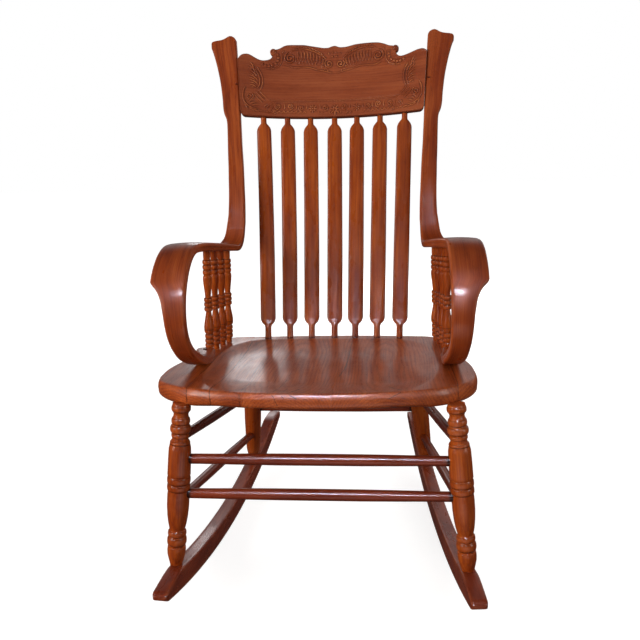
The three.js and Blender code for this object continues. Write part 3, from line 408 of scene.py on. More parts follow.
def oak(name, deep, middle, bright, pore_dirt_and_shade="#260a03", rub_and_highlight="#a8552c", ring_step=0.0042, figure=0.4,
        streaks=0.6, pore_depth=0.4, roughness=0.36, coat=0.25, coat_roughness=0.15, level=0.35, cracks=()):
    """Stained and varnished oak: growth rings, long pores and worn edges. A shade attribute darkens hollows,
    partly as grime and partly as painted shade. A highlight attribute lightens edges and beads, partly as
    worn wood and partly as painted highlight.
    """
    g = Graph(bpy.data.materials.new(name))
    grain = g.attribute("grain", "Vector")
    bent = g.swayed(grain, "sway", GRAIN_SWAY)
    parts = g.node("ShaderNodeSeparateXYZ", {0: bent})
    across, depth = parts.outputs["Y"], parts.outputs["Z"]
    radius = g.math("SQRT", g.add(g.times(across, across), g.times(depth, depth)))
    drift = g.times(g.noise(grain, "drift", detail=1.0), RING_DRIFT)
    ring = g.math("FRACT", g.add(g.math("DIVIDE", radius, ring_step), drift))
    early = g.times(g.span(ring, 0.0, 0.2), g.span(ring, 0.7, 0.25), clamp=True)

    streak = g.noise(bent, "streak", detail=4.0, roughness=0.6)
    pores = g.span(g.noise(bent, "pore", detail=1.0, roughness=0.4), 0.56, 0.68)
    pores = g.times(pores, g.add(g.times(early, 0.75), 0.25))

    def swing(value, amount):
        return g.times(g.math("SUBTRACT", value, 0.5), amount)

    tone = g.add(swing(streak, streaks), swing(g.noise(bent, "broad"), SWING))
    tone = g.add(tone, swing(g.noise(grain, "cloud"), SWING))
    tone = g.math("SUBTRACT", tone, g.times(early, EARLY_DARK * figure))
    tone = g.add(tone, g.add(g.attribute("tone"), 0.5 + EARLY_BALANCE * figure))
    ramp = g.node("ShaderNodeValToRGB", {0: tone})
    stops = ramp.color_ramp.elements
    for stop, position, shade in zip(stops, (0.25, 0.75), (deep, bright)):
        stop.position, stop.color = position, linear(shade)
    stops.new(0.5).color = linear(middle)
    colour = g.mix(g.times(pores, pore_depth), ramp.outputs[0], linear(pore_dirt_and_shade))

    patch = g.noise(grain, "patch", detail=3.0)
    # Lightens towards the pale colour: worn edges and scuffs, plus a painted highlight on carved ridges and
    # turned beads.
    wear_and_highlight_mask = g.times(g.attribute("wear_and_highlight"), g.span(patch, 0.38, 0.66), clamp=True)
    colour = g.mix(wear_and_highlight_mask, colour, linear(rub_and_highlight))
    # Darkens towards the dark colour: grime in hollows, plus painted shade in carved gaps and turned grooves,
    # and darker along some edges.
    dirt_and_shade_mask = g.times(g.attribute("dirt_and_shade"), g.span(patch, 0.1, 0.55, 0.75, 1.0), clamp=True)
    colour = g.mix(dirt_and_shade_mask, colour, linear(pore_dirt_and_shade))

    height = g.add(g.times(pores, BUMP["pores"]), g.times(streak, BUMP["streak"]))
    height = g.add(height, g.times(early, BUMP["early"]))
    if cracks:
        split = crack_mask(g, cracks)
        colour = g.mix(split, colour, linear(CRACK_STAIN))
        height = g.add(height, g.times(split, BUMP["split"]))
    smear = g.span(g.noise(grain, "smear", detail=3.0), 0.25, 0.75, roughness - 0.06, roughness + 0.08)
    gloss = g.add(smear, g.times(pores, 0.16))
    ripple = g.noise(grain, "ripple", detail=1.0)
    under = g.node("ShaderNodeBump", {"Strength": 0.22, "Distance": 0.004, "Height": ripple}).outputs[0]
    bump = g.node("ShaderNodeBump", {"Strength": 0.3, "Distance": 0.0005, "Height": height, "Normal": under})
    shader = g.node("ShaderNodeBsdfPrincipled", {
        "Base Color": colour, "Roughness": gloss, "Normal": bump.outputs[0],
        "IOR": 1.46, "Specular IOR Level": level, "Coat Weight": coat,
        "Coat Roughness": coat_roughness, "Coat IOR": 1.45, "Coat Normal": under,
    })
    g.node("ShaderNodeOutputMaterial", {"Surface": shader.outputs[0]})
    return g.owner


def steel(name):
    """Old dark screw steel with a brown bloom."""
    g = Graph(bpy.data.materials.new(name))
    place = g.node("ShaderNodeTexCoord").outputs["Object"]
    bloom = g.noise(place, "rust", detail=4.0, roughness=0.65)
    colour = g.mix(g.span(bloom, 0.35, 0.65), linear("#2c211c"), linear("#6d5443"))
    rough = g.span(bloom, 0.3, 0.7, 0.32, 0.62)
    bump = g.node("ShaderNodeBump", {"Strength": 0.3, "Distance": 0.0002, "Height": bloom})
    shader = g.node("ShaderNodeBsdfPrincipled", {
        "Base Color": colour, "Roughness": rough, "Normal": bump.outputs[0], "Metallic": 0.85,
    })
    g.node("ShaderNodeOutputMaterial", {"Surface": shader.outputs[0]})
    return g.owner


# Splits in the seat: a long one across the dish, a scratch, short checks along the front edge.
SEAT_CRACKS = (
    ((0.0427, 0.0707, 0.3667), (0.0414, 0.0301, 0.3653), 0.0006, TOP_FACE),
    ((0.0414, 0.0301, 0.3653), (0.0403, -0.0718, 0.3703), 0.0011, TOP_FACE),
    ((0.0403, -0.0718, 0.3703), (0.0370, -0.1395, 0.3736), 0.0014, TOP_FACE),
    ((0.0370, -0.1395, 0.3736), (0.0295, -0.1914, 0.3762), 0.0012, TOP_FACE),
    ((-0.0707, -0.3414, 0.3899), (-0.0670, -0.3445, 0.3868), 0.0009, FRONT_EDGE),
    ((-0.0670, -0.3445, 0.3868), (-0.0618, -0.3460, 0.3732), 0.0006, FRONT_EDGE),
    ((-0.0545, -0.3437, 0.3892), (-0.0506, -0.3458, 0.3850), 0.0009, FRONT_EDGE),
    ((-0.0403, -0.3434, 0.3898), (-0.0293, -0.3465, 0.3852), 0.0010, FRONT_EDGE),
    ((0.1390, -0.3250, 0.3909), (0.1200, -0.3370, 0.3830), 0.0007, FRONT_EDGE),
    ((-0.1790, -0.2900, 0.3900), (-0.1782, -0.3225, 0.3900), 0.0006, TOP_FACE),
    ((-0.1782, -0.3225, 0.3910), (-0.1755, -0.3270, 0.3660), 0.0008, FRONT_EDGE),
    ((-0.2207, -0.3075, 0.3900), (-0.2200, -0.3110, 0.3680), 0.0008, FRONT_EDGE),
    ((-0.1254, -0.3350, 0.3905), (-0.1250, -0.3385, 0.3660), 0.0007, FRONT_EDGE),
    ((0.2344, -0.3000, 0.3900), (0.2344, -0.3050, 0.3680), 0.0008, FRONT_EDGE),
)
WOOD = {
    "seat": oak("seat_oak", "#742c0f", "#974319", "#b85c28", ring_step=0.0052, figure=0.8, streaks=0.8,
                roughness=0.36, coat=0.55, coat_roughness=0.22, level=0.45, pore_depth=0.55,
                cracks=SEAT_CRACKS),
    "bent": oak("bent_oak", "#6c270e", "#873815", "#a24e22", figure=0.5, streaks=0.75, roughness=0.32,
                coat=0.35),
    "crest": oak("crest_oak", "#783319", "#8e4425", "#a25531", ring_step=0.0050, figure=0.25, streaks=0.45,
                 roughness=0.38, coat=0.2, pore_depth=0.3, rub_and_highlight="#b4683c", pore_dirt_and_shade="#341006"),
    "turned": oak("turned_oak", "#732809", "#933e0f", "#b0561a", ring_step=0.0048, figure=0.5, streaks=0.75,
                  roughness=0.29, coat=0.40),
    "dark": oak("runner_oak", "#571a0b", "#6e2913", "#88391d", ring_step=0.0048, figure=0.4, roughness=0.30,
                coat=0.45, rub_and_highlight="#8a4326"),
}
STEEL = steel("screw_steel")


# ---- Seat ----------------------------------------------------------------------------------


def bezier(points, steps):
    t = np.linspace(0, 1, steps)[:, None]
    p = [np.asarray(q, float) for q in points]
    while len(p) > 1:
        p = [a + (b - a) * t for a, b in zip(p[:-1], p[1:])]
    return p[0]


def seat_rim(count):
    """The seat's outline at even steps, right half from the front to the back, then mirrored."""
    front, rear, side, rear_side = -SEAT_FRONT, SEAT_REAR, SEAT_HALF_WIDTH, SEAT_REAR_HALF_WIDTH
    corner_x, corner_y = side - SEAT_FRONT_CORNER, front + SEAT_FRONT_BOW + SEAT_FRONT_CORNER
    back, turn = rear - SEAT_REAR_BOW, SEAT_REAR_CORNER
    stretches = [
        [(0, front), (corner_x * 0.62, front), (corner_x, front + SEAT_FRONT_BOW)],
        [(corner_x, front + SEAT_FRONT_BOW),
         (corner_x + SEAT_FRONT_CORNER * 0.55, front + SEAT_FRONT_BOW + SEAT_FRONT_CORNER * 0.16),
         (side, corner_y - SEAT_FRONT_CORNER * 0.42), (side, corner_y)],
        [(side, corner_y), (side, corner_y + SEAT_FRONT_CORNER * 0.6),
         (rear_side + turn * 0.35, back - turn * 2.2), (rear_side, back - turn)],
        [(rear_side, back - turn), (rear_side - turn * 0.12, back - turn * 0.3),
         (rear_side - turn * 0.5, back), (rear_side - turn, back)],
        [(rear_side - turn, back), (rear_side * 0.4, rear), (0, rear)],
    ]
    path = np.vstack([bezier(s, 80)[:-1] for s in stretches] + [[(0, rear)]])
    steps = lengths(path)
    even = np.linspace(0, steps[-1], count // 2 + 1)
    half = np.stack([np.interp(even, steps, path[:, 0]), np.interp(even, steps, path[:, 1])], -1)
    return np.vstack([half, half[1:-1][::-1] * (-1, 1)])


def dish_share(x, y):
    """How far inside the dish a point is: 0 at its edge, 1 where its floor begins."""
    sideways = (DISH_HALF_WIDTH - np.abs(x)) / DISH_SLOPE["side"]
    front = (y + DISH_FRONT - SEAT_FRONT_BOW * (x / DISH_HALF_WIDTH) ** 2) / DISH_SLOPE["front"]
    lengthways = np.minimum((DISH_REAR - y) / DISH_SLOPE["rear"], front)
    corner = DISH_CORNER - np.hypot(DISH_CORNER - sideways, DISH_CORNER - lengthways)
    inside = (sideways < DISH_CORNER) & (lengthways < DISH_CORNER)
    return np.where(inside, corner, np.minimum(sideways, lengthways))


def seat_surface(x, y):
    """The dish's depth; its slope runs straighter towards the front."""
    steep = DISH_STEEP * smooth(*DISH_STEEP_Y, y)
    return -DISH_DEPTH * (1 - (1 - np.clip(dish_share(x, y), 0, 1)) ** (2 - steep))


SEAT_AROUND = 288
SEAT_RINGS = 64
# From the top face down the edge to the underside: inset from the rim, height.
SEAT_EDGE = (
    (0.0090, -0.0001), (0.0052, -0.0004), (0.0041, -0.0010), (0.0031, -0.0030), (0.0018, -0.0056),
    (0.0008, -0.0084), (0.0002, -0.0115), (0.0000, -0.0155), (0.0004, -0.0195), (0.0016, -0.0228),
    (0.0044, -0.0252), (0.0110, -0.0280), (0.0190, -0.0302), (0.0230, -0.0310),
)
BEVEL_START = -0.020
CORNER_BEVEL = 0.32
CORNER_X = (0.15, 0.21)
CORNER_Y = (-0.05, -0.12)
UNDERSIDE_SHARES = (0.8, 0.5, 0.2)
# How the real boards' ends leave the plan on the left and on the right.
BULGE = (0.0075, 0.0050)
BULGE_Y = (-0.062, -0.038)
BULGE_REACH = 0.085
BULGE_X = (0.16, 0.28)
CORNER_SHIFT = (-0.0030, -0.0055)
SHIFT_Y = (-0.09, -0.15)
# Each board's shade and how far its top stands above its neighbours'.
BOARD_TONES = (-0.03, 0.02, -0.05, 0.015, -0.01, 0.03)
BOARD_LIFTS = (0.0, 0.00015, -0.0002, 0.0, 0.00018, -0.0001)
BOARD_TOP = -0.0035
BOARD_LIMIT = 0.29
RIM_WEAR = 0.55
SHOULDER_WEAR = 0.25
SHOULDER_BAND = (0.20, 0.0)


def corner_share(rim):
    """1 at the two front corners, where the boards' lower edge is hardly bevelled, and 0 elsewhere."""
    return smooth(*CORNER_X, np.abs(rim[:, 0])) * smooth(*CORNER_Y, rim[:, 1])


def side_bulge(x, y):
    """The real boards' ends bulge past the plan ahead of the arms, the left one most."""
    amount, middle, shift = (np.where(x < 0, *pair) for pair in (BULGE, BULGE_Y, CORNER_SHIFT))
    bump = np.clip(1 - ((y - middle) / BULGE_REACH) ** 2, 0, 1) ** 2
    corner = shift * smooth(*SHIFT_Y, y)
    return (np.sign(x) * amount * bump + corner) * smooth(*BULGE_X, np.abs(x))


def seat_blank():
    """The whole dished seat as one closed skin, in the seat's own frame."""
    rim = seat_rim(SEAT_AROUND)
    ahead, behind = np.roll(rim, -1, axis=0), np.roll(rim, 1, axis=0)
    inward = unit(np.stack([behind[:, 1] - ahead[:, 1], ahead[:, 0] - behind[:, 0]], -1))
    inner = rim + inward * SEAT_EDGE[0][0]
    rings = []
    for share in np.linspace(0, 1, SEAT_RINGS)[1:] ** 0.85:
        place = inner * share
        z = seat_surface(place[:, 0], place[:, 1]) + SEAT_EDGE[0][1] * share**30
        rings.append(np.column_stack([place, z]))
    bevel = lerp(1, CORNER_BEVEL, corner_share(rim))
    for inset, height in SEAT_EDGE[1:]:
        reach = inset * (bevel if height < BEVEL_START else 1)
        place = rim + inward * np.broadcast_to(reach, len(rim))[:, None]
        rings.append(np.column_stack([place, np.full(len(rim), height)]))
    under = rings[-1][:, :2]
    for share in UNDERSIDE_SHARES:
        rings.append(np.column_stack([under * share, np.full(len(rim), -SEAT_THICKNESS)]))
    verts, faces = skin(np.array(rings))
    verts[-2] = (0, 0, seat_surface(0, 0))
    verts[:, 0] += SEAT_SHIFT + side_bulge(verts[:, 0], verts[:, 1])
    return verts, faces


def build_seat():
    verts, faces = seat_blank()
    whole = bmesh.new()
    points = [whole.verts.new(v) for v in verts]
    for f in faces:
        whole.faces.new([points[i] for i in f])
    whole.normal_update()
    limits = [-1.0, *BOARD_JOINTS, 1.0]
    for number, (low, high) in enumerate(zip(limits[:-1], limits[1:])):
        board = whole.copy()
        for edge, way in ((low + JOINT_WIDTH / 2, -1), (high - JOINT_WIDTH / 2, 1)):
            geometry = board.verts[:] + board.edges[:] + board.faces[:]
            cut = bmesh.ops.bisect_plane(
                board, geom=geometry, plane_co=(edge, 0, 0), plane_no=(way, 0, 0), clear_outer=True)
            rim = [e for e in cut["geom_cut"] if isinstance(e, bmesh.types.BMEdge)]
            if rim:
                bmesh.ops.triangle_fill(board, edges=rim, use_beauty=False)
        bmesh.ops.recalc_face_normals(board, faces=board.faces)
        board.verts.index_update()
        flat = np.array([v.co for v in board.verts])
        shapes = [tuple(v.index for v in f.verts) for f in board.faces]
        board.free()
        top = flat[:, 2] > BOARD_TOP
        flat[:, 2] += np.where(top, BOARD_LIFTS[number], 0)
        place = board_place(number, 0.02, 0.05)
        middle = (max(low, -BOARD_LIMIT) + min(high, BOARD_LIMIT)) / 2
        grain = np.column_stack([flat[:, 1], flat[:, 0] - middle, flat[:, 2]])
        shoulder = np.abs(dish_share(flat[:, 0] - SEAT_SHIFT, flat[:, 1]))
        rim_wear = smooth(-0.001, -0.004, flat[:, 2]) * smooth(-0.012, -0.006, flat[:, 2])
        wear_and_highlight = np.clip(RIM_WEAR * rim_wear + SHOULDER_WEAR * smooth(*SHOULDER_BAND, shoulder) * top, 0, 1)
        world = on_seat(flat[:, 0], flat[:, 1], flat[:, 2])
        add_piece(f"seat_plank_{number + 1}", world, shapes, grain + place, WOOD["seat"],
                  [f"seat_board_{number + 1}"], wear_and_highlight=wear_and_highlight, tone=BOARD_TONES[number])
    whole.free()


# ---- Bent arms and posts -------------------------------------------------------------------

# Inner and outer edge from the middle of the chair, along each stretch of the strip.
STRIP_EDGES = {
    "tail": [[0, 0.2361, 0.2509], [0.06, 0.2287, 0.2583], [0.16, 0.225, 0.262], [0.6, 0.2234, 0.2583],
             [1, 0.2186, 0.2485]],
    "roll": [[0, 0.2186, 0.2485], [0.33, 0.2175, 0.2530], [0.45, 0.2205, 0.2565], [0.6, 0.2240, 0.2588],
             [0.75, 0.2252, 0.2614], [0.9, 0.2252, 0.2631], [1, 0.2252, 0.2642]],
    "curl": [[0, 0.2252, 0.2642], [0.08, 0.2252, 0.2660], [0.156, 0.2252, 0.2684], [0.203, 0.2252, 0.2712],
             [0.25, 0.2251, 0.2750], [0.297, 0.2250, 0.2807], [0.34, 0.2249, 0.2872], [0.362, 0.2249, 0.2890],
             [0.40, 0.2248, 0.2890], [0.65, 0.2248, 0.2884], [1, 0.2240, 0.2862]],
    "arm": [[0, 0.2240, 0.2862], [0.43, 0.2090, 0.2690], [1, 0.1930, 0.2470]],
    "elbow": [[0, 0.193, 0.247], [0.4, 0.1914, 0.2394], [0.75, 0.1905, 0.2325], [1, 0.1900, 0.2300]],
    "post": [[0, 0.1900, 0.2300], [0.027, 0.1893, 0.2280], [0.053, 0.1895, 0.2264], [0.107, 0.1903, 0.2257],
             [0.16, 0.1917, 0.2260], [0.213, 0.1931, 0.2268], [0.267, 0.1944, 0.2275], [0.32, 0.1961, 0.2286],
             [0.373, 0.1979, 0.2294], [0.427, 0.1990, 0.2301], [0.48, 0.2003, 0.2311],
             [0.507, 0.2008, 0.2330], [0.533, 0.2013, 0.2375], [0.56, 0.2019, 0.2398],
             [0.613, 0.2031, 0.2415], [0.667, 0.2042, 0.2439], [0.72, 0.2053, 0.2468],
             [0.773, 0.2064, 0.2506], [0.827, 0.2075, 0.2549], [0.88, 0.2085, 0.2597],
             [0.933, 0.2093, 0.2646], [0.96, 0.2098, 0.2660], [1, 0.2104, 0.2664]],
}
STRIP_STEPS = {"tail": 20, "roll": 40, "curl": 64, "arm": 44, "elbow": 30, "post": 150}
# The top of the post across its width, from the inner edge: how far it stands below the peak.
EAR_SHARES = ((0, -0.0090), (0.04, -0.0055), (0.09, -0.0028), (0.16, -0.0008), (0.23, 0.0), (0.33, -0.0016),
              (0.41, -0.0042), (0.50, -0.0066), (0.60, -0.0082), (0.70, -0.0091), (0.80, -0.0097),
              (0.88, -0.0102), (0.94, -0.0116), (0.98, -0.0136), (1.0, -0.0160))
EAR_RISE = {-1: 0.0054, 1: 0.0026}
EAR_STRETCH = 0.030
# How far each real arm stands above the plan, at its front and at the elbow: its top and its underside.
ARM_TOP_LIFT = {-1: (0.0078, -0.0020), 1: (0.0094, 0.0010)}
ARM_UNDER_LIFT = {-1: (0.0060, 0.0012), 1: (0.0068, 0.0030)}
ARM_LEAN = -0.0016
ARM_CROWN = 0.0016
# The strip's worn edge band, then the painted light that makes its inner half paler on the post and the
# painted shade that makes its outer half darker.
STRIP_EDGE_BAND = (0.006, 0.001)
INNER_PAINTED_LIGHT = 0.07
OUTER_PAINTED_SHADE = 0.05
END_WEAR = 0.4


def strip_curves():
    """The strip's middle line in the side view: points (y, z) and tangents for each stretch."""
    along = np.array([math.cos(SEAT_TILT), -math.sin(SEAT_TILT)])
    up = SEAT_UP[1:]
    lift = CURL_RADIUS + STRIP_THICKNESS / 2 + FIT_GAP
    centre = on_seat(0, CURL_CENTRE)[1:] + up * lift
    roll_centre = centre + along * (CURL_FOOT_REACH - CURL_RADIUS)
    low = roll_centre - up * CURL_RADIUS
    tail_end = low + along * TAIL_LENGTH
    sin, cos = math.sin(ARM_RISE), math.cos(ARM_RISE)
    arm_start = centre + CURL_RADIUS * np.array([sin, cos])
    arm_end = np.array([ARM_REAR, arm_start[1] - (ARM_REAR - arm_start[0]) * math.tan(ARM_RISE)])
    elbow = arm_end + ELBOW_RADIUS * np.array([sin, cos])
    post_foot = elbow + ELBOW_RADIUS * np.array([math.cos(POST_FOOT_RAKE), -math.sin(POST_FOOT_RAKE)])
    post_top = np.array(POST_TOP)
    span = post_top - post_foot
    reach = (span[0] * math.cos(POST_TOP_RAKE) - span[1] * math.sin(POST_TOP_RAKE)) / math.sin(
        POST_FOOT_RAKE - POST_TOP_RAKE)
    control = post_foot + reach * np.array([math.sin(POST_FOOT_RAKE), math.cos(POST_FOOT_RAKE)])

    def arc(middle, radius, start, end, t, stretch=1.0, turn=0.0):
        angle = start + (end - start) * t
        x, y = radius * stretch * np.cos(angle), radius * np.sin(angle)
        c, s = math.cos(turn), math.sin(turn)
        return np.column_stack([middle[0] + x * c - y * s, middle[1] + x * s + y * c])

    half = math.pi / 2
    return {
        "tail": lambda t: tail_end + (low - tail_end) * t[:, None],
        "roll": lambda t: arc(roll_centre, CURL_RADIUS, 3 * half, 2 * half, t,
                              CURL_FOOT_REACH / CURL_RADIUS, -SEAT_TILT),
        "curl": lambda t: arc(centre, CURL_RADIUS, 2 * half - SEAT_TILT, half - ARM_RISE, t),
        "arm": lambda t: arm_start + (arm_end - arm_start) * t[:, None],
        "elbow": lambda t: arc(elbow, ELBOW_RADIUS, 3 * half - ARM_RISE, 4 * half - POST_FOOT_RAKE, t),
        "post": lambda t: ((1 - t) ** 2)[:, None] * post_foot + (2 * t * (1 - t))[:, None] * control
        + (t**2)[:, None] * post_top,
    }


def strip_line():
    """The strip at close steps: points, tangents, length so far, and both edges."""
    curves = strip_curves()
    points, knots, inner, outer = [], [], [], []
    length = 0.0
    for name, curve in curves.items():
        fine = curve(np.linspace(0, 1, 200))
        steps = lengths(fine)
        for share, low, high in STRIP_EDGES[name][:None if name == "post" else -1]:
            knots.append(length + np.interp(share, np.linspace(0, 1, 200), steps))
            inner.append(low)
            outer.append(high)
        share = np.linspace(0, 1, STRIP_STEPS[name] + 1)
        points.append(curve(share if name == "post" else share[:-1]))
        length += steps[-1]
    points = np.vstack(points)
    tangents = unit(np.gradient(points, axis=0))
    so_far = lengths(points)
    so_far *= length / so_far[-1]
    return points, tangents, so_far, through(knots, inner, so_far), through(knots, outer, so_far)


STRIP = strip_line()
CURL_START = STRIP_STEPS["tail"] + STRIP_STEPS["roll"]
ARM_START = CURL_START + STRIP_STEPS["curl"]
POST_START = ARM_START + STRIP_STEPS["arm"] + STRIP_STEPS["elbow"]
POST_SOLID = STRIP[2][POST_START]
# Rounds off the strip's two cut ends: how much thinner it is, how far past the last station.
STRIP_ENDS = ((0.0072, 0.0026), (0.0050, 0.0022), (0.0028, 0.0014), (0.0010, 0.0006))


def strip_swell(side):
    """How the arm leaves the plan: its top and underside upwards, sideways, and its face's crown.

    The departures set in halfway up the curl, are full at the arm's start and end past the elbow.
    """
    so_far = STRIP[2]
    turns = (CURL_START + 32, ARM_START + 8, POST_START - 12, POST_START + 14)
    curl, arm, elbow, post = (so_far[k] for k in turns)
    share = np.clip((so_far - arm) / (elbow - arm), 0, 1) ** 1.5
    fade = smooth(curl, arm, so_far) * smooth(post, elbow, so_far)
    above, below = (fade * lerp(*lift[side], share) for lift in (ARM_TOP_LIFT, ARM_UNDER_LIFT))
    lean = ARM_LEAN * smooth(0.04, so_far[CURL_START], so_far)
    lean = lean * smooth(so_far[POST_START + 10], arm, so_far)
    crown = ARM_CROWN * smooth(so_far[CURL_START - 20], so_far[CURL_START], so_far)
    crown = crown * smooth(elbow, elbow - 0.05, so_far)
    return above, below, lean, crown


SWELL = {side: strip_swell(side) for _, side in SIDES}


def post_at(z):
    """The post's middle point, tangent and inner edge at a height."""
    points, tangents, _, inner, _ = (part[POST_START:] for part in STRIP)
    heights = points[:, 1]
    return (
        np.array([np.interp(z, heights, points[:, 0]), z]),
        unit([np.interp(z, heights, tangents[:, 0]), np.interp(z, heights, tangents[:, 1])]),
        np.interp(z, heights, inner),
    )


def build_strip(word, side, number):
    points, tangents, so_far, inner, outer = STRIP
    shares, drops = zip(*EAR_SHARES)
    sections = []

    def row(k, trim=0.0, out=0.0):
        """The section at a station; trim makes it thinner and narrower, out moves it along the strip."""
        half = (outer[k] - inner[k]) / 2
        section = rounded_section(half, STRIP_THICKNESS / 2, min(STRIP_EDGE_RADIUS, half * 0.45), 5, 10)
        share = (section[:, 0] + half) / (2 * half)
        u = section[:, 0] * (1 - 0.4 * trim / half)
        v = section[:, 1] * (1 - trim / (STRIP_THICKNESS / 2))
        above, below, lean, crown = (part[k] for part in SWELL[side])
        v = v + np.where(v < 0, crown * (section[:, 0] / half) ** 2, 0)
        v = v - above * (0.5 - v / STRIP_THICKNESS) - below * (0.5 + v / STRIP_THICKNESS)
        normal = np.array([tangents[k][1], -tangents[k][0]])
        ending = smooth(so_far[-1] - EAR_STRETCH, so_far[-1], so_far[k])
        slide = ending * (through(shares, drops, share) + EAR_RISE[side]) + out
        x = side * ((inner[k] + outer[k]) / 2 + u) + lean
        sections.append(section)
        corner = smooth(*(half - band for band in STRIP_EDGE_BAND), np.abs(section[:, 0]))
        edge = corner * smooth(0.0, STRIP_THICKNESS / 2, np.abs(section[:, 1])) + (END_WEAR if trim else 0)
        on_post = smooth(POST_SOLID - 0.05, POST_SOLID + 0.05, so_far[k])
        # Painted light on the post's inner half and painted shade on the strip's outer half, carried as tone.
        bright = INNER_PAINTED_LIGHT * smooth(0.62, 0.38, share) * on_post - OUTER_PAINTED_SHADE * smooth(0.4, 0.8, share)
        place = np.column_stack([np.full(len(section), so_far[k] + out), section])
        yz = points[k] + v[:, None] * normal + slide[:, None] * tangents[k]
        return np.column_stack([x, yz]), place, edge, bright

    last = len(points) - 1
    stations = [row(0, trim, -out) for trim, out in STRIP_ENDS]
    stations += [row(k) for k in range(last + 1)]
    stations += [row(last, trim, out) for trim, out in STRIP_ENDS[::-1]]
    rows, places, edges, painted_light_tones = (np.array(part) for part in zip(*stations))
    verts, faces = skin(rows, facing_pairs(sections[0]))
    grain = places.reshape(-1, 3) + board_place(SAWN["arm"] + number, 0.02, 0.09)
    add_piece(f"{word}_bent_arm", verts, faces, grain, WOOD["bent"],
              [f"{word}_arm_and_post"], wear_and_highlight=edges.ravel() * 0.5, tone=painted_light_tones.ravel())


# ---- Crest rail ----------------------------------------------------------------------------

_, crest_tangent, _ = post_at(CREST_FOOT + CREST_RISE / 2)
CREST_RAKE = math.atan2(crest_tangent[0], crest_tangent[1])
CREST_START = post_at(CREST_FOOT)[0]

MM = 0.001
# The top edge over the front face, in millimetres: across from the chair's middle, up from the foot.
CREST_TOP = np.array([
    (-208, 119.5), (-206, 121.5), (-202, 126.7), (-197, 130.2), (-192.8, 131.6), (-187, 132.2), (-183, 131.5),
    (-177, 128.8), (-171, 125.4), (-165, 122.3), (-160, 120.5), (-154, 119.6), (-149, 120), (-144, 121),
    (-139.5, 122.6), (-135.6, 125.5), (-133.4, 128.5), (-132.2, 133), (-130.8, 139), (-128.4, 143.4),
    (-125, 145.3), (-121.2, 146.1), (-114, 149.2), (-109, 152.3), (-104.3, 154.5), (-97, 156.2), (-88, 156.8),
    (-65.5, 157), (-47.5, 154.6), (-31, 151.9), (-16.5, 149.8), (-10, 149.9), (-4.8, 151.2), (0, 153),
    (6.6, 153.9), (11, 152.5), (14.9, 151), (20, 150.2), (29, 150.4), (40, 152.3), (51.3, 154.6), (65, 155.6),
    (78, 155.9), (92, 155.4), (102.5, 154.3), (110, 152.2), (116.6, 149.9), (122, 147.2), (127, 145.1),
    (134, 143.6), (137.6, 142.6), (140, 139.5), (141.6, 134), (142.6, 128), (144.2, 123.6), (147, 120.8),
    (150, 119.2), (153, 118.6), (158, 118.9), (164.8, 120.4), (173, 122.8), (182, 125.6), (189, 127.6),
    (197.2, 128.2), (203, 126.5), (208, 123),
]) * MM + (0, 0.0010)
CREST_LOW = -0.0052
CREST_CORNER = 0.009
CREST_ROUND = 0.0032
KNOBS = ((-0.1306, 0.1406), (0.1408, 0.1380))
KNOB_RADIUS = 0.0073
KNOB_PROUD = 0.0006
KNOB_SHORT = 0.0015
# The face's rows, its runs of columns, closer by the notches, and the rim's first rows from the outline.
CREST_ROWS = 270
CREST_COLUMNS = ((-1, 1, 700), (-0.70, -0.60, 70), (0.64, 0.74, 70))
CREST_RIM = np.array([0.0, 0.00025, 0.0007, 0.0014, 0.0023, 0.0032])
CREST_BACK_ROWS = 12
RELIEF_FADE = (0.0008, 0.0045)
RIM_DARK_REACH = (0.0030, 0.0004)
RIM_DARK = 0.40
# A knob's turned outline: metres from its front and radius, then from its rear, each with its dirt.
KNOB_FRONT = (
    (0.0006, 0.0006, 0.1), (0.0000, 0.0015, 0.0), (0.0002, 0.0024, 0.1), (0.0009, 0.0031, 0.5),
    (0.0010, 0.0037, 0.5), (0.0004, 0.0046, 0.1), (0.0010, 0.0058, 0.1), (0.0022, 0.0068, 0.2),
    (0.0040, KNOB_RADIUS, 0.3),
)
KNOB_REAR = ((0.0040, KNOB_RADIUS, 0.3), (0.0018, 0.0064, 0.2), (0.0006, 0.0045, 0.2), (0.0, 0.0022, 0.2))


def crest_half(height):
    return np.interp(height, *CREST_HALVES) - 0.0006


heights = np.linspace(-0.02, 0.17, 40)
CREST_HALVES = (heights, np.array([post_at(CREST_START[1] + h * math.cos(CREST_RAKE))[2] for h in heights]))


def crest_place(x, height, depth=0.0):
    """A point of the bowed board: across, up its raked face, and towards the back."""
    bow = CREST_BOW * (1 - (x / crest_half(0.0)) ** 2) + depth
    y = CREST_START[0] + height * math.sin(CREST_RAKE) + bow * math.cos(CREST_RAKE)
    z = CREST_START[1] + height * math.cos(CREST_RAKE) - bow * math.sin(CREST_RAKE)
    return np.stack(np.broadcast_arrays(x, y, z), -1)


def crest_bottom(x):
    """The lower edge's height, with a round corner at both ends."""
    reach = np.clip((np.abs(x) - crest_half(0.0) + CREST_CORNER) / CREST_CORNER, 0, 1)
    return CREST_LOW + CREST_CORNER * (1 - np.sqrt(1 - reach**2))


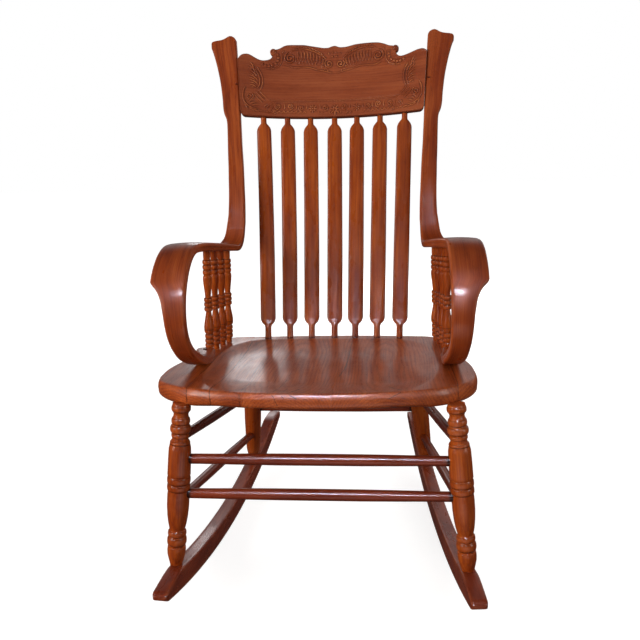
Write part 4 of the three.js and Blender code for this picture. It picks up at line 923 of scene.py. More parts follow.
def crest_grid():
    """Columns of points over the face: across and height, and how far each is from the outline."""
    share = np.unique(np.round(np.concatenate([np.linspace(*run) for run in CREST_COLUMNS]), 5))
    top = through(CREST_TOP[:, 0], CREST_TOP[:, 1], share * crest_half(0.14))
    bottom = crest_bottom(share * crest_half(0.0))
    rim, inner = CREST_RIM, np.linspace(0, 1, CREST_ROWS)[1:-1]
    columns = []
    for low, high in zip(bottom, top):
        middle = low + rim[-1] + (high - low - 2 * rim[-1]) * inner
        columns.append(np.r_[low + rim, middle, (high - rim)[::-1]])
    height = np.array(columns)
    x = share[:, None] * crest_half(height)
    outline = np.vstack([np.column_stack([x[:, end], height[:, end]]) for end in (0, -1)])
    distance = np.full(x.shape, 1.0)
    for c in range(len(share)):
        close = outline[np.abs(outline[:, 0] - x[c, 100]) < 0.010]
        gaps = np.hypot(x[c][:, None] - close[:, 0], height[c][:, None] - close[:, 1])
        distance[c] = gaps.min(1)
    distance[:, 0] = distance[:, -1] = 0
    return x, height, np.minimum(distance, crest_half(height) - np.abs(x) + 0.0015)


def smooth_path(points, steps=10):
    """A curve through the points, as close samples."""
    p = np.asarray(points, float)
    p = np.vstack([2 * p[0] - p[1], p, 2 * p[-1] - p[-2]])
    t = np.linspace(0, 1, steps, endpoint=False)[:, None]
    parts = []
    for a, b, c, d in zip(p[:-3], p[1:-2], p[2:-1], p[3:]):
        parts.append(0.5 * (2 * b + (c - a) * t + (2 * a - 5 * b + 4 * c - d) * t**2
                            + (3 * b - a - 3 * c + d) * t**3))
    return np.vstack([*parts, p[-2:-1]])


def crest_strokes():
    """The carved ridges of one half, in millimetres: path, half width, height, taper at both ends."""
    strokes = []

    def line(points, width=1.2, height=0.9, taper=(0.12, 0.12)):
        strokes.append((smooth_path(points), width, height, taper))

    def spiral(u, v, outer, inner, start, turns, width=1.3, height=1.0):
        angle = np.radians(start + 360 * turns * np.linspace(0, 1, 60))
        radius = lerp(outer, inner, np.linspace(0, 1, 60) ** 0.8)
        path = np.column_stack([u + radius * np.cos(angle), v + radius * np.sin(angle)])
        strokes.append((path, width, height, (0.05, 0.02)))
        bead(path[-1][0], path[-1][1], inner * 0.8 + 0.6)

    def bead(u, v, radius, height=1.1):
        strokes.append((np.array([(u, v), (u + 0.01, v)]), radius, height, (0, 0)))

    def leaf(root, tip, bend=0.18, width=1.7, height=1.0):
        root, tip = np.array(root, float), np.array(tip, float)
        side_way = np.array([-(tip - root)[1], (tip - root)[0]]) * bend
        strokes.append((bezier([root, (root + tip) / 2 + side_way * 2, tip], 16), width, height, (0.25, 0.7)))

    # Top band: a rib from the outer volute along the edge to the middle scroll, with feathers.
    rib = [(98, 141), (84, 147.5), (66, 148), (49, 143.5), (34, 136), (23, 129), (20, 124.5)]
    line(rib, 1.5, 1.1)
    spiral(98, 127, 14, 3.2, 90, -1.7, 1.6, 1.2)
    spiral(12.5, 114, 10.5, 2.6, 60, -1.35, 1.4, 1.1)
    line([(106, 112.5), (96, 108), (84, 106), (70, 107.5), (54, 106), (40, 101.5), (26, 98.5), (12, 95),
          (0, 91.5)], 1.3, 1.0)
    rib_u, rib_v = np.array(rib[::-1]).T
    for u in np.arange(26, 84, 6.5):
        v = np.interp(u, rib_u, rib_v)
        leaf((u, v + 1.5), (u + 13, min(v + 11, 152.5)), 0.14, 1.5, 0.9)
    for u in np.arange(27, 86, 7.0):
        v = np.interp(u, rib_u, rib_v)
        low = np.interp(u + 4, (0, 12, 26, 40, 54, 70, 84, 96),
                        (91.5, 95, 98.5, 101.5, 106, 107.5, 106, 108))
        leaf((u, v - 2), (u + 7, low + 4), -0.16, 2.0, 1.0)
        if 40 < u:
            leaf((u + 1.5, (v + low) / 2 + 2), (u - 5, low + 2.5), 0.18, 1.4, 0.8)
    for u, v, radius in ((5, 130, 2.4), (4, 139, 2.0), (13, 137, 2.0), (108, 133, 2.2), (112, 141, 2.0)):
        bead(u, v, radius)
    for angle in (-80, -50, -20, 10):
        a = math.radians(angle)
        leaf((12.5 + 11.5 * math.cos(a), 112 + 11.5 * math.sin(a)),
             (12.5 + 19 * math.cos(a), 112 + 17 * math.sin(a)), 0.1, 1.6, 0.9)
    # Lobes under the notch.
    for u, v, radius in ((124, 134, 2.6), (122.3, 127.5, 2.9), (123.4, 120.6, 3.1), (127.8, 114.4, 3.2),
                         (134.3, 110, 3.2), (141.6, 108, 3.1), (149, 108.6, 3.0), (155.6, 111.6, 2.7)):
        bead(u, v, radius, 1.2)
    line([(116.5, 138), (115, 128), (116.5, 117), (122, 108.5), (131, 103.5), (142, 102), (153, 103.5)],
         1.1, 0.8)
    # Side frame: twin arcs, feathers outside them, then slanting bars down to the lower border.
    line([(167, 104), (160, 92.5), (156, 79), (156.5, 64), (162, 51)], 1.5, 1.1)
    line([(172.5, 102), (166, 91), (162, 79), (162.5, 65), (168, 53)], 1.2, 0.9)
    for root, tip in (((168, 58), (183, 64)), ((165.5, 66), (185, 75)), ((165.5, 74), (187, 87)),
                      ((167, 82), (188, 99)), ((170, 90), (188, 110)), ((174, 98), (184, 117))):
        leaf(root, tip, 0.14, 2.0, 1.0)
        leaf(np.add(root, (5, 1)), np.add(tip, (-2, -7)), 0.12, 1.2, 0.7)
    for shift in (0, 5, 10):
        line([(u + shift, v - shift * 0.9) for u, v in ((164, 54), (155, 43), (146, 34))], 1.2, 0.9)
    # Corner scroll.
    line([(190, 61), (194.5, 50), (195.5, 38), (193, 27), (186, 18), (174, 12), (162, 12)], 1.6, 1.1)
    spiral(182, 38, 9, 2.2, 100, 1.5, 1.4, 1.0)
    for root, tip in (((184, 25), (170, 32)), ((181, 21), (163, 26)), ((177, 17.5), (158, 20)),
                      ((184, 13), (172, 3)), ((192, 20), (187, 6)), ((176, 9), (160, 1)),
                      ((166, 8), (150, 2))):
        leaf(root, tip, -0.12, 1.7, 0.9)
    # Lower band: border, running scrolls, rosettes and a palmette in the middle.
    line([(146, 31.5), (120, 30.5), (90, 31), (60, 31.5), (30, 31.5), (-3, 31.5)], 0.9, 0.8, (0.03, 0))
    line([(140, 27.6), (120, 27.2), (90, 27.6), (60, 28), (30, 28), (-3, 28)], 0.8, 0.6, (0.03, 0))
    line([(192, -1.5), (150, -2.6), (100, -2.6), (50, -2.6), (-3, -2.6)], 0.9, 0.7, (0.03, 0))
    spiral(124, 17.5, 7.2, 1.8, 250, 1.6)
    spiral(98, 18.5, 7.4, 1.8, -70, -1.6)
    spiral(130, 5, 4.4, 1.4, 120, -1.3, 1.1)
    spiral(74, 15, 6.8, 1.8, 250, 1.5)
    spiral(22, 16, 7.2, 1.8, -60, -1.6)
    for u in np.arange(64, 148, 9.0):
        leaf((u, 7), (u + 8, 1.5), 0.2, 1.5, 0.8)
        leaf((u + 3, 10), (u - 4, 3), 0.2, 1.4, 0.8)
    for root, tip in (((111, 12), (112, 25)), ((86, 12), (86, 25)), ((137, 12), (138, 25)),
                      ((64, 13), (63, 25)), ((34, 12), (35, 24)), ((112, 9), (104, 3)),
                      ((30, 8), (22, 2)), ((37, 8), (31, 2)),
                      ((146, 22), (153, 12)), ((141, 20), (148, 9)), ((13, 8), (10, 1))):
        leaf(root, tip, 0.15, 1.7, 0.9)
    for angle in range(0, 360, 45):
        a = math.radians(angle)
        leaf((49 + 2.5 * math.cos(a), 14 + 2.5 * math.sin(a)),
             (49 + 10 * math.cos(a), 14 + 10 * math.sin(a)), 0.05, 2.0, 1.0)
    bead(49, 14, 2.6, 1.4)
    for angle in (90, 55, 20, -35, -90):
        a = math.radians(angle)
        leaf((1 * math.cos(a), 10 + math.sin(a)), (12 * math.cos(a), 10 + 14 * math.sin(a)), 0.05, 2.3, 1.1)
    return strokes


# The plain middle of the face, one half, in millimetres.
CREST_FIELD = ((-5, 89), (12, 92), (26, 95.5), (40, 98.5), (54, 103), (70, 104.5), (84, 103), (96, 105),
               (108, 109), (114, 110), (120, 104.5), (130, 99.5), (142, 98), (155, 100), (163, 102),
               (157, 92), (153, 79), (153.5, 64), (159, 52), (144, 34.5), (60, 34.5), (-5, 34.5))
CARVED_GROUND = 0.0008
STIPPLE = 0.00010
STIPPLE_SEED = 5
RIDGE_HEIGHT = 1.5
# How strongly the gaps beside the ridges get painted shade, and the ridges a painted highlight.
HOLLOW_SHADE = 2.2
RIDGE_SHINE = 2.4
CREST_MIDDLE = 0.006


def blurred(field, reach):
    """The field's mean over a small square of samples."""
    for axis in (0, 1):
        padded = np.concatenate([np.repeat(field.take([0], axis), reach + 1, axis), field,
                                 np.repeat(field.take([-1], axis), reach, axis)], axis)
        sums = np.cumsum(padded, axis)
        size = field.shape[axis]
        field = (sums.take(range(2 * reach + 1, 2 * reach + 1 + size), axis)
                 - sums.take(range(size), axis)) / (2 * reach + 1)
    return field


def crest_relief(x, height):
    """How far the pressed carving stands out of the face, the painted shade in the gaps beside its ridges and
    the painted highlight on the ridges.
    """
    u = np.abs((x - CREST_MIDDLE * (1 - np.clip(np.abs(x) / 0.2, 0, 1) ** 2)) / MM).ravel()
    v = (height / MM).ravel()
    ridge = np.zeros(len(u))
    for path, width, tall, (start, end) in crest_strokes():
        low, high = path.min(0) - width, path.max(0) + width
        near = np.nonzero((u > low[0]) & (u < high[0]) & (v > low[1]) & (v < high[1]))[0]
        if not len(near):
            continue
        gaps = (u[near][:, None] - path[:, 0]) ** 2 + (v[near][:, None] - path[:, 1]) ** 2
        closest = gaps.argmin(1)
        share = closest / (len(path) - 1)
        reach = np.ones(len(near))
        if start:
            reach = reach * np.clip(share / start, 0.02, 1) ** 0.6
        if end:
            reach = reach * np.clip((1 - share) / end, 0.02, 1) ** 0.7
        rise = tall * reach**0.5 * np.clip(1 - gaps.min(1) / (width * reach) ** 2, 0, 1) ** 0.7
        ridge[near] = np.maximum(ridge[near], rise)
    field = np.array(CREST_FIELD)
    inside = np.zeros(len(u), bool)
    for (x0, y0), (x1, y1) in zip(field, np.roll(field, -1, axis=0)):
        crossing = (y0 > v) != (y1 > v)
        inside ^= crossing & (u < x0 + (x1 - x0) * (v - y0) / (y1 - y0 if y1 != y0 else 1))
    border = np.vstack([np.linspace(a, b, 24) for a, b in zip(field[:-1], field[1:])])
    carved = np.zeros(len(u))
    outside = np.nonzero(~inside)[0]
    for part in np.array_split(outside, 12):
        gaps = np.hypot(u[part][:, None] - border[:, 0], v[part][:, None] - border[:, 1]).min(1)
        carved[part] = smooth(0.0, 2.0, gaps)
    stipple = np.random.default_rng(STIPPLE_SEED).uniform(-1, 1, len(u)) * STIPPLE
    relief = ridge * RIDGE_HEIGHT * MM - (CARVED_GROUND + stipple) * carved
    lifted = (ridge * carved).reshape(x.shape)
    proud = lifted - blurred(lifted, 5)
    return (relief.reshape(x.shape), np.clip(-proud * HOLLOW_SHADE, 0, 1),
            np.clip(proud * RIDGE_SHINE, 0, 1))


def build_crest():
    """The crest board: a fine front face with its carving, and a plain back."""
    x, height, distance = crest_grid()
    relief, gap_shade, ridge = crest_relief(x, height)
    inset = np.clip(1 - distance / CREST_ROUND, 0, 1)
    round_off = CREST_ROUND * (1 - np.sqrt(1 - inset**2))
    flat = smooth(*RELIEF_FADE, distance)
    front = crest_place(x, height, -CREST_THICKNESS / 2 + round_off - relief * flat)
    columns, rows = x.shape
    rim = len(CREST_RIM)
    between = np.linspace(rim, rows - rim - 1, CREST_BACK_ROWS).astype(int)[1:-1]
    keep = np.r_[0:rim, between, rows - rim:rows]
    back = crest_place(x[:, keep], height[:, keep], CREST_THICKNESS / 2 - round_off[:, keep])
    verts = np.vstack([front.reshape(-1, 3), back.reshape(-1, 3)])
    faces = []
    for start, wide, flip in ((0, rows, False), (columns * rows, len(keep), True)):
        index = np.arange(columns * wide).reshape(columns, wide) + start
        quads = np.stack([index[:-1, :-1], index[1:, :-1], index[1:, 1:], index[:-1, 1:]], -1).reshape(-1, 4)
        faces += (quads[:, ::-1] if flip else quads).tolist()
    ahead = np.arange(columns * rows).reshape(columns, rows)
    behind = np.arange(columns * len(keep)).reshape(columns, len(keep)) + columns * rows
    for a in range(columns - 1):
        faces.append((ahead[a + 1, 0], ahead[a, 0], behind[a, 0], behind[a + 1, 0]))
        faces.append((ahead[a, -1], ahead[a + 1, -1], behind[a + 1, -1], behind[a, -1]))
    for column, order in ((0, 1), (columns - 1, -1)):
        for b in range(len(keep) - 1):
            strip = list(range(keep[b], keep[b + 1] + 1))
            face = [ahead[column, r] for r in strip] + [behind[column, b + 1], behind[column, b]]
            faces.append(tuple(int(i) for i in face[::order]))
    across, up = (np.r_[part.ravel(), part[:, keep].ravel()] for part in (x, height))
    depth = np.r_[np.zeros(x.size), np.full(columns * len(keep), CREST_THICKNESS)]
    # The face is painted darker along its outline; the gaps beside the ridges get painted shade and the
    # ridges a painted highlight.
    rim_dark = smooth(*RIM_DARK_REACH, distance) * RIM_DARK
    dirt_and_shade = np.r_[np.maximum(gap_shade * 0.75, rim_dark).ravel(), rim_dark[:, keep].ravel() * 0.5]
    wear_and_highlight = np.r_[(ridge * 0.9).ravel(), np.zeros(columns * len(keep))]
    grain = np.column_stack([across, up, depth]) + board_place(SAWN["crest"], 0.02, 0.08)
    add_piece("crest_board", verts, faces, grain, WOOD["crest"], ["crest_rail"],
              dirt_and_shade=dirt_and_shade, wear_and_highlight=wear_and_highlight, sharp=70)


def build_knobs():
    """The small turned-over scroll ends beside the notches of the top edge."""
    for (word, side), (x, height) in zip(SIDES, KNOBS):
        front = crest_place(x, height, -CREST_THICKNESS / 2 - KNOB_PROUD)
        rear = crest_place(x, height, CREST_THICKNESS / 2 - KNOB_SHORT)
        deep = float(np.linalg.norm(rear - front))
        rows = [*KNOB_FRONT, *((deep - back, radius, shade) for back, radius, shade in KNOB_REAR)]
        rows, shade_and_dirt = [row[:2] for row in rows], [row[2] for row in rows]
        lathe(f"crest_{word}_knob", front, rear, rows, shade_and_dirt, WOOD["crest"], ["crest_rail"],
              SAWN["knob"] + (side > 0), around=32)


# ---- Back spindles -------------------------------------------------------------------------


# How far each real spindle stands off an even spacing, at the rail and at the seat.
BACK_NUDGE = ((0.0, 0.0), (0.0, 0.0), (-0.0012, 0.0), (0.0004, 0.0026), (-0.0018, 0.0), (-0.0026, -0.0002),
              (-0.0010, 0.0010))
BACK_TONES = (0.02, -0.03, 0.03, 0.0, -0.02, 0.04, -0.01)
# How far each end runs on into its socket, and the lengths of the two ends that are round.
BACK_SUNK = 0.006
BACK_LOWER_NECK = 0.028
BACK_UPPER_NECK = 0.013
BACK_TAPER = 0.019
# The stretches at the seat and at the rail that need close rows.
BACK_CLOSE_LOW = 0.06
BACK_CLOSE_TOP = 0.045
# Where each paddle starts to turn darker towards its long edges, and how dark; both ends are dark too.
BACK_EDGE_BAND = (0.38, 0.47)
BACK_EDGE_DARK = 0.3


def back_line(number):
    offset = number - (BACK_COUNT - 1) / 2
    outermost = (BACK_COUNT - 1) / 2
    foot_y = BACK_FOOT_Y + BACK_FOOT_BOW * (1 - (offset / outermost) ** 2)
    x = offset * BACK_TOP_SPACING + BACK_TOP_SHIFT + BACK_NUDGE[number][0]
    foot_x = offset * BACK_FOOT_SPACING + BACK_NUDGE[number][1]
    foot = on_seat(foot_x, foot_y, float(seat_surface(foot_x, foot_y)))
    top = crest_place(x, CREST_LOW + 0.001)
    chord = unit(top - foot)
    backward = unit(np.array([0, chord[2], -chord[1]]))
    middle = (foot + top) / 2 + backward * 2 * BACK_BEND
    points = bezier([foot, middle, top], 400)
    return points, lengths(points)


def back_widths(length):
    """Metres along the spindle from the seat, with its half width and half thickness there."""
    neck, width, thick = BACK_NECK, BACK_WIDTH / 2, BACK_THICKNESS / 2
    lower, upper = BACK_LOWER_NECK, length - BACK_UPPER_NECK
    full, taper = lower + BACK_TAPER, upper - BACK_TAPER
    along = [-BACK_SUNK, 0.0, lower - 0.004, lower + 0.002, lower + 0.007, lower + 0.013, full,
             lerp(full, taper, 0.3), lerp(full, taper, 0.65), taper, upper - 0.012, upper - 0.006,
             upper - 0.001, upper + 0.005, length + BACK_SUNK]
    wide = [neck * 1.08, neck * 1.08, neck * 1.06, neck * 1.25, neck * 2.0, width * 0.93, width, width,
            width * 0.975, width * 0.945, width * 0.84, neck * 1.62, neck * 1.03, neck * 0.98, neck]
    deep = [neck, neck, neck, neck * 0.97, neck * 0.88, thick * 1.0, thick, thick, thick, thick,
            thick * 1.02, neck * 0.9, neck * 0.95, neck * 0.94, neck * 0.96]
    return along, wide, deep


def build_back_spindle(number):
    points, so_far = back_line(number)
    length = so_far[-1]
    along, wide, deep = back_widths(length)
    stops = np.unique(np.r_[
        np.linspace(-BACK_SUNK, BACK_CLOSE_LOW, 46),
        np.linspace(BACK_CLOSE_LOW, length - BACK_CLOSE_TOP, 50),
        np.linspace(length - BACK_CLOSE_TOP, length + BACK_SUNK, 40)])
    around = np.linspace(0, 2 * math.pi, 28, endpoint=False)
    rows, places = [], []

    def point(s):
        return np.array([np.interp(s, so_far, points[:, i]) for i in range(3)])

    for s in stops:
        inside = np.clip(s, 0, length)
        tangent = unit(point(min(inside + 0.002, length)) - point(max(inside - 0.002, 0)))
        middle = point(inside) + tangent * (s - inside)
        across = unit(np.array([1, 0, 0]) - tangent * tangent[0])
        facing = np.cross(tangent, across)
        a, b = float(through(along, wide, s)), float(through(along, deep, s))
        power = lerp(1.0, 0.72, min(1, max(0, (a / b - 1) / 1.5)))
        cos, sin = np.cos(around), np.sin(around)
        u = a * np.sign(cos) * np.abs(cos) ** power
        v = b * np.sign(sin) * np.abs(sin) ** power
        rows.append(middle + u[:, None] * across + v[:, None] * facing)
        places.append(np.column_stack([np.full(len(u), s), u, v]))
    rows, places = np.array(rows), np.array(places)
    verts, faces = skin(rows)
    grain = with_ends(places, rows) + board_place(SAWN["back"] + number, 0.03, 0.08)
    edges = smooth(*(BACK_WIDTH * share for share in BACK_EDGE_BAND), np.abs(places[:, :, 1]))
    shade_and_dirt = edges * BACK_EDGE_DARK
    shade_and_dirt[stops < 0.0025] = np.maximum(shade_and_dirt[stops < 0.0025], 0.7)
    shade_and_dirt[stops > length - 0.002] = np.maximum(shade_and_dirt[stops > length - 0.002], 0.8)
    add_piece(f"back_paddle_{number + 1}", verts, faces, grain, WOOD["turned"],
              [f"back_spindle_{number + 1}"], dirt_and_shade=with_ends(shade_and_dirt, rows)[:, 0], tone=BACK_TONES[number],
              sharp=60)


# ---- Turned pieces -------------------------------------------------------------------------


def turned_profile(parts):
    """Rows of (share along, radius) from parts: (share, radius, bulge of the stretch that ends here).

    A bulge is how far a bead stands out, in the radius's own units; 0 is a straight taper and -1 a
    flowing one. The dip between two beads comes out dark: partly grime, partly painted shade.
    """
    rows, shade_and_dirt = [(parts[0][0], parts[0][1])], [0.0]
    for (t0, r0, _), (t1, r1, bulge) in zip(parts[:-1], parts[1:]):
        steps = 10 if bulge > 0 else 5
        for k in range(1, steps + 1):
            t = k / steps
            if bulge > 0:
                rise = bulge * math.sqrt(max(0.0, 1 - (2 * t - 1) ** 2))
                shaded = 1 - float(smooth(0.25, 0.92, rise / bulge))
            else:
                t = t * t * (3 - 2 * t) if bulge < 0 else t
                rise, shaded = 0.0, 0.0
            rows.append((lerp(t0, t1, t), lerp(r0, r1, t) + rise))
            shade_and_dirt.append(shaded)
    return rows, shade_and_dirt


# A ring that stands out from the mean of its neighbours is painted paler, partly as worn wood and partly as a
# painted highlight: rings in the mean, the rise for the full effect, its strength.
PROUD_RINGS = 13
PROUD_FULL = 0.0009
PROUD_WEAR_AND_HIGHLIGHT = 0.55


def lathe(name, start, end, rows, shade_and_dirt, material, nodes, number, around=32, tone=0.0, oval=0.0,
          before=0.0, after=0.0):
    """A turned piece between two points. rows hold (metres along, radius)."""
    start, end = np.asarray(start, float), np.asarray(end, float)
    axis = unit(end - start)
    helper = np.array([0, 1, 0]) if abs(axis[1]) < 0.9 else np.array([1, 0, 0])
    side_way = unit(np.cross(axis, helper))
    face_way = np.cross(axis, side_way)
    rows = [(rows[0][0] - before, rows[0][1]), *rows, (rows[-1][0] + after, rows[-1][1])]
    shade_and_dirt = [shade_and_dirt[0], *shade_and_dirt, shade_and_dirt[-1]]
    angle = np.linspace(0, 2 * math.pi, around, endpoint=False)
    circle = np.column_stack([np.cos(angle) * (1 + oval), np.sin(angle) * (1 - oval)])
    rings, places, shades = [], [], []
    for (along, radius), shade in zip(rows, shade_and_dirt):
        offset = circle * radius
        rings.append(start + axis * along + offset[:, :1] * side_way + offset[:, 1:] * face_way)
        places.append(np.column_stack([np.full(around, along), offset]))
        shades.append(np.full(around, shade))
    rings, places, shades = np.array(rings), np.array(places), np.array(shades)
    verts, faces = skin(rings)
    grain = with_ends(places, rings) + board_place(number, 0.03, 0.06)
    radii = np.array([r for _, r in rows])
    padded = np.pad(radii, PROUD_RINGS // 2, mode="edge")
    local = np.convolve(padded, np.ones(PROUD_RINGS) / PROUD_RINGS, mode="valid")
    proud = np.clip((radii - local) / PROUD_FULL, 0, 1)[:, None] * np.ones(around)
    return add_piece(name, verts, faces, grain, material, nodes, dirt_and_shade=with_ends(shades, rings)[:, 0],
                     wear_and_highlight=with_ends(proud * PROUD_WEAR_AND_HIGHLIGHT, rings)[:, 0], tone=tone, sharp=50)


# Share of the visible length from the seat down, radius in units of the greatest one, bulge.
FRONT_LEG_PARTS = (
    (0.000, 0.74, 0), (0.036, 0.74, 0.085), (0.040, 0.70, 0), (0.052, 0.625, -1), (0.068, 0.66, -1),
    (0.074, 0.70, 0), (0.114, 0.70, 0.10), (0.118, 0.72, 0), (0.166, 0.72, 0.17), (0.170, 0.70, 0),
    (0.194, 0.70, 0.07), (0.200, 0.70, 0), (0.212, 0.72, -1), (0.216, 0.80, 0), (0.232, 0.86, 0.03),
    (0.262, 0.955, 0), (0.330, 0.985, 0), (0.424, 1.000, 0), (0.430, 0.955, 0), (0.434, 0.945, 0),
    (0.478, 0.945, 0.07), (0.482, 0.945, 0), (0.520, 0.945, 0.06), (0.524, 0.930, 0), (0.560, 0.965, -1),
    (0.620, 0.960, 0), (0.680, 0.900, 0), (0.730, 0.800, 0), (0.765, 0.690, 0), (0.772, 0.68, 0),
    (0.776, 0.72, 0), (0.812, 0.72, 0.09), (0.816, 0.74, 0), (0.868, 0.74, 0.115), (0.874, 0.70, 0),
    (0.880, 0.790, 0), (0.900, 0.815, 0), (0.930, 0.785, 0), (0.965, 0.66, 0), (1.000, 0.52, 0),
)
LEG_TONE = 0.015
LEG_SUNK = (0.004, 0.006)
REAR_LEG_PARTS = (
    (0.00, 0.90, 0), (0.12, 0.98, -1), (0.35, 1.00, 0), (0.60, 0.97, 0), (0.80, 0.90, 0), (0.90, 0.82, 0),
    (1.00, 0.60, 0),
)
ARM_SPINDLE_PARTS = (
    (0.000, 0.60, 0), (0.044, 0.62, 0), (0.048, 0.72, 0), (0.092, 0.72, 0.18), (0.096, 0.72, 0),
    (0.140, 0.72, 0.18), (0.144, 0.72, 0), (0.186, 0.72, 0.17), (0.190, 0.70, 0), (0.208, 0.94, -1),
    (0.236, 1.00, 0.01), (0.262, 1.00, 0), (0.310, 0.86, 0), (0.360, 0.67, 0), (0.400, 0.56, 0),
    (0.412, 0.54, 0), (0.416, 0.68, 0), (0.458, 0.68, 0.17), (0.462, 0.68, 0), (0.504, 0.68, 0.18),
    (0.508, 0.68, 0), (0.548, 0.68, 0.17), (0.552, 0.58, 0), (0.566, 0.60, 0), (0.620, 0.69, 0),
    (0.680, 0.83, 0), (0.722, 0.90, 0), (0.752, 0.88, 0), (0.770, 0.72, -1), (0.774, 0.72, 0),
    (0.820, 0.72, 0.18), (0.824, 0.72, 0), (0.870, 0.72, 0.18), (0.874, 0.72, 0), (0.918, 0.72, 0.17),
    (0.923, 0.66, 0), (0.945, 0.70, 0), (1.000, 0.70, 0),
)


def scaled_profile(parts, length, radius):
    rows, shade_and_dirt = turned_profile(parts)
    return [(t * length, r * radius) for t, r in rows], shade_and_dirt


def runner_arc(radius, along):
    return RUNNER_RADIUS - np.sqrt(radius**2 - (along - RUNNER_BALANCE / math.cos(RUNNER_TOE_IN)) ** 2)


def runner_point(side, y, radius):
    along = y / math.cos(RUNNER_TOE_IN)
    x = side * (RUNNER_HALF_SPACING - y * math.tan(RUNNER_TOE_IN))
    return np.array([x, y, runner_arc(radius, along)])


def leg_axis(kind, side):
    leg = FRONT_LEG if kind == "front" else REAR_LEG
    top = on_seat(side * leg["x"], leg["y"], -SEAT_THICKNESS)
    foot = runner_point(side, leg["foot"], RUNNER_RADIUS - RUNNER_DEPTH)
    if kind == "front":
        top[0] += LEG_NUDGE[side][0]
        foot[0] += LEG_NUDGE[side][1]
    return top, foot


def build_leg(kind, word, side, number):
    top, foot = leg_axis(kind, side)
    leg = FRONT_LEG if kind == "front" else REAR_LEG
    parts = FRONT_LEG_PARTS if kind == "front" else REAR_LEG_PARTS
    rows, shade_and_dirt = scaled_profile(parts, np.linalg.norm(foot - top), leg["radius"])
    lathe(f"{word}_{kind}_turned_leg", top, foot, rows, shade_and_dirt, WOOD["turned"],
          [f"{word}_{kind}_leg"], number, around=40, tone=LEG_TONE * side, before=LEG_SUNK[0],
          after=LEG_SUNK[1])


def arm_spindle_ends(side, number):
    y = ARM_FIRST_Y + number * ARM_SPACING_Y
    x = ARM_FIRST_X - number * ARM_SPACING_X
    at_foot, at_top = (lerp(*ends, number / (ARM_COUNT - 1)) for ends in ARM_NUDGE[side])
    foot = on_seat(side * (x + at_foot), y)
    points, _, _, inner, outer = STRIP
    arm = slice(ARM_START, ARM_START + STRIP_STEPS["arm"] + 1)
    along = y - ARM_TOP_SHIFT
    z, middle, lift = (np.interp(along, points[arm, 0], part[arm])
                       for part in (points[:, 1], (inner + outer) / 2, SWELL[side][1]))
    return foot, np.array([side * (middle + at_top), along, z + lift])


ARM_TONES = (0.02, -0.06, -0.09, 0.0)
ARM_SUNK = (0.006, 0.004)


def build_arm_spindle(word, side, number):
    foot, top = arm_spindle_ends(side, number)
    length = np.linalg.norm(top - foot) - STRIP_THICKNESS / 2
    rows, shade_and_dirt = scaled_profile(ARM_SPINDLE_PARTS, length, ARM_RADIUS)
    lathe(f"{word}_arm_turning_{number + 1}", foot, top, rows, shade_and_dirt, WOOD["turned"],
          [f"{word}_arm_spindle_{number + 1}"], SAWN["arm_spindle"] + number + ARM_COUNT * (side > 0),
          around=28, tone=ARM_TONES[number], before=ARM_SUNK[0], after=ARM_SUNK[1])


def at_height(start, end, z):
    return start + (end - start) * (z - start[2]) / (end[2] - start[2])


STRETCHER_PARTS = (
    (0.00, 0.86, 0), (0.04, 0.865, 0), (0.12, 0.885, 0), (0.22, 0.94, 0), (0.34, 0.99, 0), (0.50, 1.00, 0),
    (0.66, 0.99, 0), (0.78, 0.94, 0), (0.88, 0.885, 0), (0.96, 0.865, 0), (1.00, 0.86, 0),
)
STRETCHER_DARK = 0.013


def build_stretcher(name, start, end, radii, radius, number, tone=0.0):
    """A rail from one leg to another; it stops a little way inside both."""
    axis = unit(end - start)
    start = start + axis * (radii[0] - STRETCHER_SUNK)
    end = end - axis * (radii[1] - STRETCHER_SUNK)
    rows, shade_and_dirt = scaled_profile(STRETCHER_PARTS, np.linalg.norm(end - start), radius)
    shade_and_dirt = [float(min(along, rows[-1][0] - along) < STRETCHER_DARK) for along, _ in rows]
    lathe(f"{name}_rail", start, end, rows, shade_and_dirt, WOOD["dark"], [name], number, around=28,
          tone=tone)


def build_base():
    legs = {}
    for word, side in SIDES:
        for kind in ("front", "rear"):
            legs[kind, side] = leg_axis(kind, side)
            build_leg(kind, word, side, SAWN["leg"] + 2 * (side > 0) + (kind == "rear"))
    front, rear = FRONT_LEG["radius"], REAR_LEG["radius"]
    for number, (word, z) in enumerate(zip(("upper", "lower"), FRONT_STRETCHER_HEIGHTS)):
        ends = [at_height(*legs["front", side], z) for side in (-1, 1)]
        build_stretcher(f"front_stretcher_{word}", *ends, (front, front), FRONT_STRETCHER_RADIUS,
                        SAWN["front_rail"] + number, tone=0.04)
    ends = [at_height(*legs["rear", side], REAR_STRETCHER_HEIGHT) for side in (-1, 1)]
    build_stretcher("rear_stretcher", *ends, (rear, rear), REAR_STRETCHER_RADIUS,
                    SAWN["rear_rail"])
    for word, side in SIDES:
        for number, (level, (z0, z1)) in enumerate(zip(("upper", "lower"), SIDE_STRETCHER_HEIGHTS)):
            lift = RAIL_NUDGE[side][number]
            start = at_height(*legs["front", side], z0 + lift)
            end = at_height(*legs["rear", side], z1 + lift)
            build_stretcher(f"{word}_side_stretcher_{level}", start, end, (front, rear),
                            SIDE_STRETCHER_RADIUS, SAWN["side_rail"] + number + 2 * (side > 0),
                            tone=-0.02)


# ---- Runners -------------------------------------------------------------------------------

RUNNER_EDGE = 0.0032
RUNNER_STATIONS = 190
NOSE_TOP = 0.078
NOSE_TIP = 0.36
NOSE_ROUND_SHARE = 0.16
NOSE_ROUND = 0.008
NOSE_FOOT = 0.010
NOSE_LIFT = 0.0035
NOSE_SIDES = 0.0040
NOSE_SIDE_REACH = 0.006
RUNNER_EDGE_WEAR = 0.6
SCUFF_HEIGHT = 0.010
SCUFF_WEAR = 0.35
